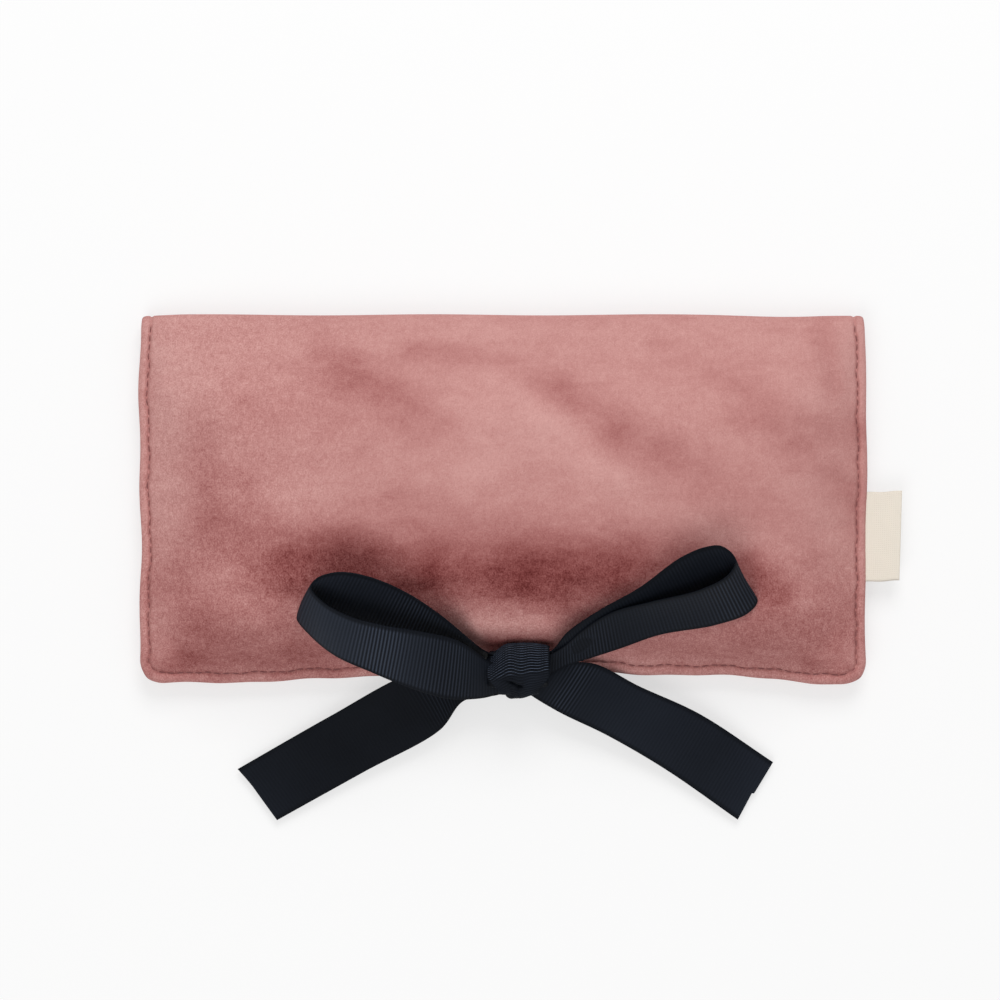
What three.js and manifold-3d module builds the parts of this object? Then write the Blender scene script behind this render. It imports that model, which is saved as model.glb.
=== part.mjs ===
// Velvet jewelry roll, closed and tied with a ribbon bow.
// Lengths are in millimetres. +X runs to the right along the fold, +Y towards the fold, +Z up.
// The origin is the centre of the back cover's flat underside.

import * as THREE from 'three';
import { mergeVertices } from 'three/addons/utils/BufferGeometryUtils.js';
import Module from 'manifold-3d';

const wasm = await Module();
wasm.setup();

// Closed roll
const rollWidth = 230;
const rollDepth = 117;
const cornerRadius = 5.5;

// Layers of each padded cover
const shellThickness = 1.0;
const waddingThickness = 2.8;
const liningThickness = 0.6;
const layerGap = 0.3;
const waddingGap = 0.4;

// Rolled and topstitched hem on three sides of each cover
const hemWidth = 3.2;
const hemLayerThickness = 1.65;
const hemRound = 1.2;
const hemBlend = 6;
const liningInset = 1.2;
const waddingInset = 2.4;
const coverGap = 1.4;
const backHemInset = 0.8;

// Crown of the flap over the contents
const sideRun = 32;
const hemRun = 22;
const foldRun = 30;
const domeRise = 1.8;

// Where the ribbon draws the hem in
const knotShift = 4.7;
const knotInset = 5.2;
const hemDraw = 4.5;
const hemDrawReach = 42;
const cinchShare = 0.92;
const cinchReachX = 26;
const cinchReachY = 14;

// Zip pockets on the back cover
const upperZipInset = 36.5;
const lowerZipInset = 72.5;
const tapeLength = 210;
const tapeThickness = 0.5;
const tapeHalfWidth = 9.2;
const tapeSlit = 2.4;
const zipWindow = 9.8;
const zipLength = 160;
const coilWidth = 5.2;
const coilHeight = 1.7;
const coilCrest = 3.2;
const stopLength = 2.2;
const stopWidth = 5.6;
const stopHeight = 1.9;
const pocketPuff = 1.4;
const pocketCloth = 0.8;
const pocketHemInset = 10.5;
const headerFoldInset = 5;

// Zip sliders and pulls
const sliderEndGap = 8;
const sliderLength = 9;
const sliderWidth = 7.8;
const sliderNose = 5.4;
const sliderPlate = 1.0;
const sliderClearance = 0.3;
const sliderShoulderShare = 0.4;
const flangeLengthShare = 0.7;
const bailLength = 6.8;
const bailWidth = 1.6;
const bailBar = 1.0;
const bailTopShare = 0.7;
const pullReach = 10.8;
const pullWidth = 4.8;
const pullThickness = 1.0;
const pullEyeLength = 3.7;
const pullEyeWidth = 2.6;
const pullHoleRadius = 1.1;
const pullHeadroom = 1.6;

// Slip pocket inside the flap
const slipLength = 190;
const slipGap = 0.4;
const slipFoldInset = 6;
const slipCloth = 0.8;
const elasticWidth = 6;
const elasticThickness = 1.6;
const elasticFoldInset = 44.4;

// Ring bar inside the flap
const ringBarRadius = 4.2;
const ringBarCloth = 0.8;
const ringBarInset = 28.5;
const ringBarShift = -4;
const ringBarLength = 136;
const ringBarClearance = 0.6;
const ringBarHeadroom = 1.6;
const coreClearance = 0.35;
const coreShort = 1.8;
const coreReachShare = 0.25;
const baseTabLength = 14;
const baseTabWidth = 9;
const baseTabThickness = 1.0;
const baseTabOverlap = 2;
const snapTabLength = 17.5;
const snapTabWidth = 10;
const snapTabThickness = 1.0;
const snapTabRootWidth = 5.6;
const snapTabRoot = 1.5;
const snapInset = 9;
const snapRadius = 4.4;
const snapHeight = 1.2;
const snapBoreRadius = 1.9;
const snapBoreDepth = 0.8;
const snapRimShare = 0.6;
const snapCapRadius = 4.1;
const snapCapHeight = 0.9;
const snapCapFlatShare = 0.7;
const studRadius = 4.2;
const studFlange = 1.0;
const studPostRadius = 1.6;
const studGap = 0.4;
const studSeat = 0.6;

// Ribbon and bow
const ribbonWidth = 22;
const ribbonThickness = 0.7;
const ribbonRest = 0.9;
const knotWrapThickness = 1.0;
const knotSeat = 2.4;
const tabSeamGap = 0.6;
const tabRise = 1.9;
const backTabReach = 6.8;
const backTabClimb = 7.2;

// Label in the flap's right seam
const labelReach = 11.5;
const labelWidth = 28.4;
const labelCentre = -12.1;
const labelLayer = 0.4;
const labelGap = 0.35;

// Shape tables and counts
const crownStationShares = [0.16, 0.34, 0.56, 0.8, 1];
const foldStationShares = [0.14, 0.36, 0.64, 1];
const cornerStationShares = [0, 0.134];
const middleSteps = 4;
const panelSteps = 8;
const panelRowSteps = 4;
const foldSteps = 10;
const barSides = 16;
const domeSteps = 4;
const snapSides = 20;
const knotSides = 24;
const loopSteps = 28;
const tailSteps = 14;
const outlineSteps = 6;

// The knot, in ribbon widths
const knotWidthShare = 0.9;
const knotDepthShare = 0.42;
const knotHeightShare = 0.29;
const knotBarrelShares = [[-0.5, 0.86], [-0.3, 0.97], [0, 1], [0.3, 0.97], [0.5, 0.86]];
const knotCoreShares = [[-0.47, 0.62], [-0.32, 0.82], [0, 0.86], [0.32, 0.82], [0.47, 0.62]];
const ribbonTabWidthShare = 0.8;
const flapTabShares = [[0, 0], [0.5, 0], [1, 1]];
const backTabShares = [[0, 0], [0.5, 0], [0.9, 0.33], [1, 1]];

// Ribbon rails, in ribbon widths from the knot's centre.
// Each row is x, y, z on the upper edge, then x, y, z on the lower edge.
const leftLoopShares = [
  [-0.475, 0.26, 0.17, -0.475, 0.14, -0.17],
  [-0.68, 0.43, 0.48, -0.78, 0.04, -0.06],
  [-1.1, 0.79, 0.76, -1.33, 0.24, 0.1],
  [-1.59, 1.12, 0.98, -1.89, 0.54, 0.28],
  [-2.08, 1.33, 1.12, -2.4, 0.74, 0.41],
  [-2.49, 1.4, 1.16, -2.8, 0.82, 0.44],
  [-2.8, 1.32, 1.16, -3.06, 0.84, 0.44],
  [-2.9, 1.19, 1.16, -3.13, 0.74, 0.44],
  [-2.77, 1.01, 1.14, -2.95, 0.5, 0.42],
  [-2.42, 0.8, 1.1, -2.6, 0.21, 0.38],
  [-1.94, 0.66, 1.04, -2.08, -0.03, 0.32],
  [-1.38, 0.56, 0.85, -1.53, -0.26, 0.24],
  [-0.89, 0.44, 0.66, -0.99, -0.42, 0.12],
  [-0.6, 0.28, 0.44, -0.62, -0.43, -0.03],
  [-0.475, 0.07, 0.17, -0.475, -0.33, -0.2],
];
const rightLoopShares = [
  [0.475, 0.26, 0.17, 0.475, 0.15, -0.17],
  [0.7, 0.54, 0.48, 0.86, 0.15, -0.02],
  [1.15, 0.86, 0.75, 1.4, 0.4, 0.18],
  [1.7, 1.18, 0.98, 1.99, 0.65, 0.36],
  [2.26, 1.6, 1.16, 2.58, 1.05, 0.48],
  [2.61, 1.75, 1.16, 2.96, 1.19, 0.48],
  [2.84, 1.76, 1.16, 3.2, 1.18, 0.48],
  [3.03, 1.57, 1.16, 3.38, 0.99, 0.48],
  [2.93, 1.36, 1.14, 3.25, 0.81, 0.44],
  [2.54, 1.15, 1.1, 2.79, 0.64, 0.38],
  [1.83, 0.97, 0.96, 2.01, 0.5, 0.3],
  [1.33, 0.83, 0.78, 1.45, 0.3, 0.17],
  [0.9, 0.56, 0.53, 0.95, 0.13, 0],
  [0.66, 0.3, 0.34, 0.68, 0.06, -0.1],
  [0.475, 0.09, 0.12, 0.475, -0.02, -0.15],
];
const leftTailShares = [
  [-0.475, -0.01, -0.25, -0.475, -0.32, -0.3],
  [-0.9, 0.06, -0.25, -0.78, -0.48, -0.35],
  [-1.59, -0.1, -0.29, -1.12, -0.9, -0.46],
  [-2.71, -0.71, -0.55, -2.21, -1.51, -0.6],
  [-4.05, -1.48, -0.69, -3.48, -2.22, -0.69],
];
const rightTailShares = [
  [0.475, -0.12, -0.23, 0.475, -0.35, -0.28],
  [1.06, 0.07, -0.22, 0.6, -0.64, -0.34],
  [1.75, -0.22, -0.36, 1.29, -1.02, -0.46],
  [2.63, -0.62, -0.53, 2.15, -1.53, -0.6],
  [3.69, -1.38, -0.69, 3.19, -2.22, -0.69],
];

// Materials
const velvet = new THREE.MeshStandardMaterial({ color: '#b9787b', roughness: 0.95, metalness: 0 });
const wadding = new THREE.MeshStandardMaterial({ color: '#f1eee8', roughness: 1, metalness: 0 });
const lining = new THREE.MeshStandardMaterial({ color: '#e6cdc8', roughness: 0.7, metalness: 0 });
const grosgrain = new THREE.MeshStandardMaterial({ color: '#1d242c', roughness: 0.75, metalness: 0 });
const zipTape = new THREE.MeshStandardMaterial({ color: '#b98083', roughness: 0.9, metalness: 0 });
const zipCoil = new THREE.MeshStandardMaterial({ color: '#a86f72', roughness: 0.5, metalness: 0 });
const goldMetal = new THREE.MeshStandardMaterial({ color: '#d8b784', roughness: 0.3, metalness: 1 });
const foam = new THREE.MeshStandardMaterial({ color: '#f4f1ea', roughness: 1, metalness: 0 });
const elastic = new THREE.MeshStandardMaterial({ color: '#dcc0bb', roughness: 0.85, metalness: 0 });
const labelTape = new THREE.MeshStandardMaterial({ color: '#e8ded0', roughness: 0.9, metalness: 0 });

// Sizes that follow from the values above
const halfWidth = rollWidth / 2;
const hemThickness = 2 * hemLayerThickness + layerGap;
const coverThickness = shellThickness + waddingThickness + liningThickness + 2 * waddingGap;
const foldRadius = hemThickness + coverGap / 2;
const foldEdgeY = rollDepth / 2 - foldRadius - layerGap;
const foldZ = hemThickness + coverGap / 2;
const flapHemZ = hemThickness + coverGap;
const knotY = -rollDepth / 2 + knotInset;
const knotHalfDepth = ribbonWidth * knotDepthShare;
const knotHalfHeight = ribbonWidth * knotHeightShare;
const knotZ = flapHemZ + hemThickness + knotSeat + knotHalfHeight;

const upperZipY = rollDepth / 2 - upperZipInset;
const lowerZipY = rollDepth / 2 - lowerZipInset;
const sliderRest = zipLength / 2 - sliderEndGap;
const tapeTopZ = coverThickness + tapeThickness;
const coilTopZ = tapeTopZ + coilHeight;
const plateZ = coilTopZ + sliderClearance;
const plateTopZ = plateZ + sliderPlate;
const pivotZ = plateTopZ + sliderClearance + pullThickness / 2;
const bailInnerZ = pivotZ + pullThickness / 2 + sliderClearance;
const bailTopZ = bailInnerZ + bailBar * bailTopShare;

const ringBarY = -rollDepth / 2 + ringBarInset;
const ringBarZ = bailTopZ + ringBarClearance + ringBarRadius;
const ringBarStart = ringBarShift - ringBarLength / 2;
const ringBarEnd = ringBarStart + ringBarLength;
const pullNeed = pivotZ + pullReach + pullHeadroom;
const barNeed = ringBarZ + ringBarRadius + ringBarHeadroom;
const crownRise = Math.max(pullNeed, barNeed) - flapHemZ;

// Plain curves shared by the covers

function lerp(a, b, share) {
  return a + (b - a) * share;
}

function arch(distance, run) {
  const share = Math.min(Math.max(distance / run, 0), 1);
  return Math.sin(share * Math.PI / 2);
}

function bell(distance, reach) {
  return Math.exp(-((distance / reach) ** 2) / 2);
}

function hemLine(x) {
  return -rollDepth / 2 + hemDraw * bell(x - knotShift, hemDrawReach);
}

function roundOff(distance) {
  const share = Math.min(Math.max(1 - distance / hemRound, 0), 1);
  return hemRound * (1 - Math.sqrt(1 - share * share));
}

function sideLine(hemDistance, radius) {
  const share = Math.max(1 - hemDistance / radius, 0);
  return halfWidth - radius * (1 - Math.sqrt(1 - Math.min(share, 1) ** 2));
}

// Height functions of one cover; hemInset draws its hem back from the roll's outline
function coverShape(hemInset) {
  const hemDistance = (x, y) => y - hemLine(x) - hemInset;
  const sideDistance = (x, y) => sideLine(hemDistance(x, y), cornerRadius) - hemInset - Math.abs(x);
  const edgeDistance = (x, y) => Math.min(hemDistance(x, y), sideDistance(x, y));
  const swell = (x, y) => arch(Math.min(edgeDistance(x, y) - hemWidth, foldEdgeY - y), hemBlend);
  return { hemDistance, sideDistance, edgeDistance, swell };
}

const back = coverShape(backHemInset);
const flap = coverShape(0);

function backLiningTop(x, y) {
  return lerp(hemThickness, coverThickness, back.swell(x, y));
}

function backLiningUnder(x, y) {
  return backLiningTop(x, y) - lerp(hemLayerThickness, liningThickness, back.swell(x, y));
}

function backShellTop(x, y) {
  return lerp(hemLayerThickness, shellThickness, back.swell(x, y));
}

function crown(x, y) {
  const cinch = cinchShare * bell(x - knotShift, cinchReachX / Math.SQRT2)
    * bell(y - knotY, cinchReachY / Math.SQRT2);
  const sides = arch(flap.sideDistance(x, y) - hemWidth, sideRun);
  const ends = arch(flap.hemDistance(x, y) - hemWidth, hemRun) * arch(foldEdgeY - y, foldRun);
  return sides * ends * (1 - cinch);
}

function flapUnder(x, y) {
  const dome = domeRise * (1 - (x / halfWidth) ** 2) * (1 - (2 * y / rollDepth) ** 2);
  return flapHemZ + (crownRise + dome) * crown(x, y);
}

function flapLiningTop(x, y) {
  return flapUnder(x, y) + lerp(hemLayerThickness, liningThickness, flap.swell(x, y));
}

function flapShellUnder(x, y) {
  const hemPart = hemLayerThickness + layerGap;
  return flapUnder(x, y) + lerp(hemPart, coverThickness - shellThickness, flap.swell(x, y));
}

function flapTop(x, y) {
  const thickness = lerp(hemThickness, coverThickness, flap.swell(x, y));
  return flapUnder(x, y) + thickness - roundOff(flap.edgeDistance(x, y));
}

// Mesh builders

function solidFrom(vertices, faces) {
  const geometry = new THREE.BufferGeometry();
  geometry.setAttribute('position', new THREE.Float32BufferAttribute(vertices.flat(), 3));
  geometry.setIndex(faces.flat());
  return geometry;
}

// A closed sheet over a grid of plan points, with a lower and an upper height at each
function sheetSolid(columns, rows, plan, lower, upper) {
  const vertices = [];
  for (const height of [lower, upper]) {
    for (let j = 0; j < rows; j += 1) {
      for (let i = 0; i < columns; i += 1) {
        const [x, y] = plan(i, j);
        vertices.push([x, y, height(x, y)]);
      }
    }
  }
  const top = columns * rows;
  const at = (i, j) => j * columns + i;
  const faces = [];
  for (let j = 0; j + 1 < rows; j += 1) {
    for (let i = 0; i + 1 < columns; i += 1) {
      const [a, b, c, d] = [at(i, j), at(i + 1, j), at(i + 1, j + 1), at(i, j + 1)];
      faces.push([a, d, c], [a, c, b], [top + a, top + b, top + c], [top + a, top + c, top + d]);
    }
  }
  const rim = [];
  for (let i = 0; i + 1 < columns; i += 1) rim.push([at(i, 0), at(i + 1, 0)]);
  for (let j = 0; j + 1 < rows; j += 1) rim.push([at(columns - 1, j), at(columns - 1, j + 1)]);
  for (let i = columns - 1; i > 0; i -= 1) rim.push([at(i, rows - 1), at(i - 1, rows - 1)]);
  for (let j = rows - 1; j > 0; j -= 1) rim.push([at(0, j), at(0, j - 1)]);
  for (const [a, b] of rim) faces.push([a, b, top + b], [a, top + b, top + a]);
  return solidFrom(vertices, faces);
}

// Distances of a cover's grid lines from its outline, starting at the layer's own inset
function stationsFrom(inset, edges, run) {
  const crownEdges = crownStationShares.map((share) => hemWidth + run * share);
  const later = [...edges, hemWidth, hemWidth + waddingInset, ...crownEdges];
  return [inset, ...later.filter((distance) => distance > inset + layerGap)];
}

// The flap's grid lines across its width, where its crown bends
function crownLines() {
  const outer = crownStationShares.map((share) => halfWidth - hemWidth - sideRun * share);
  const inner = outer[outer.length - 1];
  const middle = evenly(-inner, inner, middleSteps).slice(1, -1);
  return [...outer.map((x) => -x), ...middle, ...outer.reverse()];
}

function coverLayer(shape, hemInset, inset, lower, upper) {
  const sides = stationsFrom(inset, [hemRound / 2], sideRun);
  const hems = stationsFrom(inset, cornerStationShares.map((share) => share * cornerRadius), hemRun);
  const folds = [waddingInset, ...foldStationShares.map((share) => share * foldRun)];
  if (inset < hemWidth) folds.unshift(0);
  const innerHalf = halfWidth - hemInset - sides[sides.length - 1];
  const middle = evenly(-innerHalf, innerHalf, middleSteps).slice(1, -1);
  const outer = sides.map((distance) => halfWidth - hemInset - distance);
  const lines = [...outer.map((x) => -x), ...middle, ...outer.reverse()];
  const halfLine = lines[lines.length - 1];
  const rowCount = hems.length + 1 + folds.length;
  const plan = (i, j) => {
    const line = lines[i];
    if (j < hems.length) {
      const distance = hems[j] - inset;
      const radius = Math.max(cornerRadius - inset, layerGap);
      const cut = halfWidth - sideLine(distance, radius);
      const x = line * (halfLine - cut) / halfLine;
      return [x, hemLine(x) + hemInset + hems[j]];
    }
    const lastHem = hemLine(line) + hemInset + hems[hems.length - 1];
    const firstFold = foldEdgeY - folds[folds.length - 1];
    if (j === hems.length) return [line, (lastHem + firstFold) / 2];
    return [line, foldEdgeY - folds[rowCount - 1 - j]];
  };
  return sheetSolid(lines.length, rowCount, plan, lower, upper);
}

// A panel of cloth on grid lines of its own; a row is a y value, or a function of x for a curved edge
function clothPanel(lines, rows, lower, thickness) {
  const plan = (i, j) => [lines[i], typeof rows[j] === 'function' ? rows[j](lines[i]) : rows[j]];
  return sheetSolid(lines.length, rows.length, plan, lower, (x, y) => lower(x, y) + thickness);
}

function evenly(from, to, steps) {
  return Array.from({ length: steps + 1 }, (_, k) => lerp(from, to, k / steps));
}

// From one end to the other through the stations between them
function through(from, stations, to) {
  const inside = stations.filter((value) => value > from + layerGap && value < to - layerGap);
  return [from, ...inside, to];
}

// A solid of one plan outline, from z0 to z1
function plate(outline, z0, z1, holes = []) {
  const shape = new THREE.Shape(outline.map(([x, y]) => new THREE.Vector2(x, y)));
  for (const hole of holes) shape.holes.push(new THREE.Path(hole.map(([x, y]) => new THREE.Vector2(x, y))));
  const geometry = new THREE.ExtrudeGeometry(shape, { depth: z1 - z0, bevelEnabled: false });
  return geometry.translate(0, 0, z0);
}

// A section drawn in the YZ plane and extruded along X
function barAlongX(section, x0, x1) {
  const shape = new THREE.Shape(section.map(([y, z]) => new THREE.Vector2(y, z)));
  const geometry = new THREE.ExtrudeGeometry(shape, { depth: x1 - x0, bevelEnabled: false });
  return geometry.rotateX(Math.PI / 2).rotateZ(Math.PI / 2).translate(x0, 0, 0);
}

// A section drawn in the XZ plane and extruded along Y about its middle
function barAlongY(section, y0, y1) {
  const shape = new THREE.Shape(section.map(([x, z]) => new THREE.Vector2(x, z)));
  const geometry = new THREE.ExtrudeGeometry(shape, { depth: y1 - y0, bevelEnabled: false });
  return geometry.rotateX(Math.PI / 2).translate(0, y1, 0);
}

function arcPoints(cx, cy, radius, from, to, steps) {
  const points = [];
  for (let k = 0; k <= steps; k += 1) {
    const angle = lerp(from, to, k / steps);
    points.push([cx + radius * Math.cos(angle), cy + radius * Math.sin(angle)]);
  }
  return points;
}

function turned(profile, sides) {
  return new THREE.LatheGeometry(profile.map(([r, h]) => new THREE.Vector2(r, h)), sides);
}

// A ribbon between two rails, given as rows in ribbon widths from the knot's centre
function ribbonStrip(shares, steps) {
  const clearance = ribbonRest + ribbonThickness / 2;
  const rails = [[], []];
  for (const row of shares) {
    const points = [row.slice(0, 3), row.slice(3)].map(([x, y, z]) => new THREE.Vector3(
      knotShift + x * ribbonWidth,
      knotY + y * ribbonWidth,
      knotZ + z * ribbonWidth,
    ));
    const lifts = points.map((point) => surfaceBelow(point.x, point.y) + clearance - point.z);
    const lift = Math.max(0, ...lifts);
    for (const point of points) point.z += lift;
    rails[0].push(points[0]);
    rails[1].push(points[1]);
  }
  const [upper, lower] = rails.map((points) => new THREE.CatmullRomCurve3(points, false, 'centripetal'));
  const vertices = [];
  for (let k = 0; k <= steps; k += 1) {
    const share = k / steps;
    const [a, b] = [upper.getPoint(share), lower.getPoint(share)];
    const along = upper.getTangent(share).add(lower.getTangent(share));
    const across = b.clone().sub(a);
    const face = along.cross(across).normalize().multiplyScalar(ribbonThickness / 2);
    const front = [a.clone().add(face), b.clone().add(face)];
    const behind = [b.clone().sub(face), a.clone().sub(face)];
    for (const corner of [...front, ...behind]) vertices.push(corner.toArray());
  }
  const faces = [[0, 1, 2], [0, 2, 3]];
  for (let k = 0; k < steps; k += 1) {
    for (let corner = 0; corner < 4; corner += 1) {
      const a = 4 * k + corner;
      const b = 4 * k + (corner + 1) % 4;
      faces.push([a, a + 4, b + 4], [a, b + 4, b]);
    }
  }
  const last = 4 * steps;
  faces.push([last, last + 2, last + 1], [last, last + 3, last + 2]);
  return solidFrom(vertices, faces);
}

// Height of the flap's top at a plan point, or of the table beyond the flap
function surfaceBelow(x, y) {
  if (Math.abs(x) > halfWidth || flap.hemDistance(x, y) < 0) return 0;
  return flapTop(x, y);
}

function solidOf(geometry) {
  const bare = geometry.clone();
  for (const name of Object.keys(bare.attributes)) {
    if (name !== 'position') bare.deleteAttribute(name);
  }
  const merged = mergeVertices(bare);
  const mesh = new wasm.Mesh({
    numProp: 3,
    vertProperties: new Float32Array(merged.attributes.position.array),
    triVerts: new Uint32Array(merged.index.array),
  });
  return new wasm.Manifold(mesh);
}

function joined(...geometries) {
  const whole = geometries.map(solidOf).reduce((sum, solid) => sum.add(solid));
  const { vertProperties, triVerts } = whole.getMesh();
  const geometry = new THREE.BufferGeometry();
  geometry.setAttribute('position', new THREE.BufferAttribute(new Float32Array(vertProperties), 3));
  geometry.setIndex(Array.from(triVerts));
  return geometry;
}

const roll = new THREE.Group();

function add(name, geometry, material) {
  const mesh = new THREE.Mesh(geometry, material);
  mesh.name = name;
  roll.add(mesh);
  return mesh;
}

// Back cover
function addBackCover() {
  const shellUnder = (x, y) => roundOff(back.edgeDistance(x, y));
  add('back_shell', coverLayer(back, backHemInset, 0, shellUnder, backShellTop), velvet);
  const waddingUnder = (x, y) => backShellTop(x, y) + waddingGap;
  const waddingTop = (x, y) => backLiningUnder(x, y) - waddingGap;
  const padding = coverLayer(back, backHemInset, hemWidth + waddingInset, waddingUnder, waddingTop);
  add('back_padding', padding, wadding);
  add('back_lining', coverLayer(back, backHemInset, liningInset, backLiningUnder, backLiningTop), lining);
}

// Flap, crowned over the contents
function addFlapCover() {
  add('flap_lining', coverLayer(flap, 0, liningInset, flapUnder, flapLiningTop), lining);
  const waddingUnder = (x, y) => flapLiningTop(x, y) + waddingGap;
  const waddingTop = (x, y) => flapShellUnder(x, y) - waddingGap;
  add('flap_padding', coverLayer(flap, 0, hemWidth + waddingInset, waddingUnder, waddingTop), wadding);
  add('flap_shell', coverLayer(flap, 0, 0, flapShellUnder, flapTop), velvet);
}

// Fold at the top edge: each layer turns over in a half ring
function addFold() {
  const centreY = foldEdgeY + layerGap;
  const ring = (inner, outer) => [
    ...arcPoints(centreY, foldZ, outer, -Math.PI / 2, Math.PI / 2, foldSteps),
    ...arcPoints(centreY, foldZ, inner, Math.PI / 2, -Math.PI / 2, foldSteps),
  ];
  const shellInner = foldRadius - hemLayerThickness;
  const liningOuter = shellInner - layerGap;
  const liningHalf = halfWidth - liningInset;
  add('fold_shell', barAlongX(ring(shellInner, foldRadius), -halfWidth, halfWidth), velvet);
  add('fold_lining', barAlongX(ring(coverGap / 2, liningOuter), -liningHalf, liningHalf), lining);
}

// Zip pockets: cloth panels whose edges lie on the zip tapes
function addPockets() {
  const half = tapeLength / 2;
  const panels = [
    ['pocket_header', upperZipY + zipWindow / 2, foldEdgeY - headerFoldInset, 0],
    ['upper_pocket_panel', lowerZipY + zipWindow / 2, upperZipY - zipWindow / 2, pocketPuff],
    ['lower_pocket_panel', (x) => hemLine(x) + pocketHemInset, lowerZipY - zipWindow / 2, pocketPuff],
  ];
  for (const [name, y0, y1, puff] of panels) {
    const bottom = typeof y0 === 'function' ? y0 : () => y0;
    const rows = evenly(0, 1, panelRowSteps).map((share) => (x) => lerp(bottom(x), y1, share));
    const under = (x, y) => {
      const across = Math.min(Math.max((y - bottom(x)) / (y1 - bottom(x)), 0), 1);
      const along = (x + half) / tapeLength;
      const swell = Math.sin(across * Math.PI) * Math.sin(along * Math.PI);
      return backLiningTop(x, y) + tapeThickness + puff * Math.max(swell, 0);
    };
    add(name, clothPanel(evenly(-half, half, panelSteps), rows, under, pocketCloth), lining);
  }
}

function addZip(prefix, zipY) {
  const half = tapeLength / 2;
  const edges = { upper: [tapeSlit / 2, tapeHalfWidth], lower: [-tapeHalfWidth, -tapeSlit / 2] };
  for (const [side, [y0, y1]] of Object.entries(edges)) {
    const outline = [[-half, zipY + y0], [half, zipY + y0], [half, zipY + y1], [-half, zipY + y1]];
    add(`${prefix}_zip_tape_${side}`, plate(outline, coverThickness, tapeTopZ), zipTape);
  }
  const shoulderZ = (tapeTopZ + coilTopZ) / 2;
  const coilSection = [
    [zipY - coilWidth / 2, tapeTopZ],
    [zipY + coilWidth / 2, tapeTopZ],
    [zipY + coilWidth / 2, shoulderZ],
    [zipY + coilCrest / 2, coilTopZ],
    [zipY - coilCrest / 2, coilTopZ],
    [zipY - coilWidth / 2, shoulderZ],
  ];
  add(`${prefix}_zip_coil`, barAlongX(coilSection, -zipLength / 2, zipLength / 2), zipCoil);
  for (const [side, direction] of [['left', -1], ['right', 1]]) {
    const near = direction * (zipLength / 2 + layerGap);
    const far = near + direction * stopLength;
    const stop = new THREE.BoxGeometry(stopLength, stopWidth, stopHeight);
    stop.translate((near + far) / 2, zipY, tapeTopZ + stopHeight / 2);
    add(`${prefix}_zip_stop_${side}`, stop, goldMetal);
  }
}

// Slider over the coil: a plate with two flanges and a bail, and the pull hung on the bail.
// The pull lies towards the middle of the roll, so facing is 1 for a slider at the left.
function addSlider(prefix, x, zipY, facing) {
  const halfLength = sliderLength / 2;
  const halfWide = sliderWidth / 2;
  const flange = (sliderWidth - coilWidth) / 2 - sliderClearance;
  const noseHalf = sliderNose / 2;
  const outline = [
    [-halfLength, -halfWide],
    [halfLength * sliderShoulderShare, -halfWide],
    [halfLength, -noseHalf],
    [halfLength, noseHalf],
    [halfLength * sliderShoulderShare, halfWide],
    [-halfLength, halfWide],
  ];
  const top = plate(outline, plateZ, plateTopZ);
  const flangeZ = tapeTopZ + sliderClearance;
  const flangeMiddle = halfWide - flange / 2;
  const flangeTall = plateZ + sliderPlate / 2 - flangeZ;
  const flangeLong = sliderLength * flangeLengthShare;
  const flanges = [-1, 1].map((side) => {
    const box = new THREE.BoxGeometry(flangeLong, flange, flangeTall);
    return box.translate(-halfLength + flangeLong / 2, side * flangeMiddle, flangeZ + flangeTall / 2);
  });
  const bailHalf = bailLength / 2;
  const legZ = plateTopZ - sliderPlate / 2;
  const arc = [
    [-bailHalf, legZ],
    [-bailHalf + bailBar, legZ],
    [-bailHalf + bailBar, bailInnerZ],
    [bailHalf - bailBar, bailInnerZ],
    [bailHalf - bailBar, legZ],
    [bailHalf, legZ],
    [bailHalf, bailInnerZ],
    [bailHalf - bailBar / 2, bailTopZ],
    [-bailHalf + bailBar / 2, bailTopZ],
    [-bailHalf, bailInnerZ],
  ];
  const bail = barAlongY(arc, -bailWidth / 2, bailWidth / 2);
  const body = add(`${prefix}_slider_body`, joined(top, ...flanges, bail), goldMetal);
  body.position.set(x, zipY, 0);
  if (facing < 0) body.rotation.z = Math.PI;

  const root = pullThickness / 2;
  const tip = pullWidth / 2;
  const pullOutline = [
    [-root, -tip],
    ...arcPoints(pullReach - tip, 0, tip, -Math.PI / 2, Math.PI / 2, outlineSteps),
    [-root, tip],
  ];
  const eyeHalf = pullEyeWidth / 2;
  const eyeEnd = root + pullEyeLength;
  const eye = [[root, -eyeHalf], [root, eyeHalf], [eyeEnd, eyeHalf], [eyeEnd, -eyeHalf]];
  const hole = arcPoints(pullReach - tip, 0, pullHoleRadius, 0, -2 * Math.PI, 2 * outlineSteps).slice(0, -1);
  const pull = add(
    `${prefix}_zip_pull`,
    plate(pullOutline, pivotZ - pullThickness / 2, pivotZ + pullThickness / 2, [eye, hole]),
    goldMetal,
  );
  pull.position.set(x, zipY, 0);
  if (facing < 0) pull.rotation.z = Math.PI;
}

// Slip pocket on the flap's lining, with an elastic casing along its mouth
function addSlipPocket() {
  const half = slipLength / 2;
  const elasticY = foldEdgeY - elasticFoldInset;
  const mouthY = elasticY + elasticWidth + layerGap;
  const under = (depth) => (x, y) => flapUnder(x, y) - slipGap - depth;
  const lines = through(-half, crownLines(), half);
  const foldLines = foldStationShares.map((share) => foldEdgeY - share * foldRun).reverse();
  const rows = through(mouthY, foldLines, foldEdgeY - slipFoldInset);
  add('slip_pocket_panel', clothPanel(lines, rows, under(slipCloth), slipCloth), lining);
  const mouth = [elasticY, elasticY + elasticWidth];
  add('slip_pocket_elastic', clothPanel(lines, mouth, under(elasticThickness), elasticThickness), elastic);
}

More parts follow.
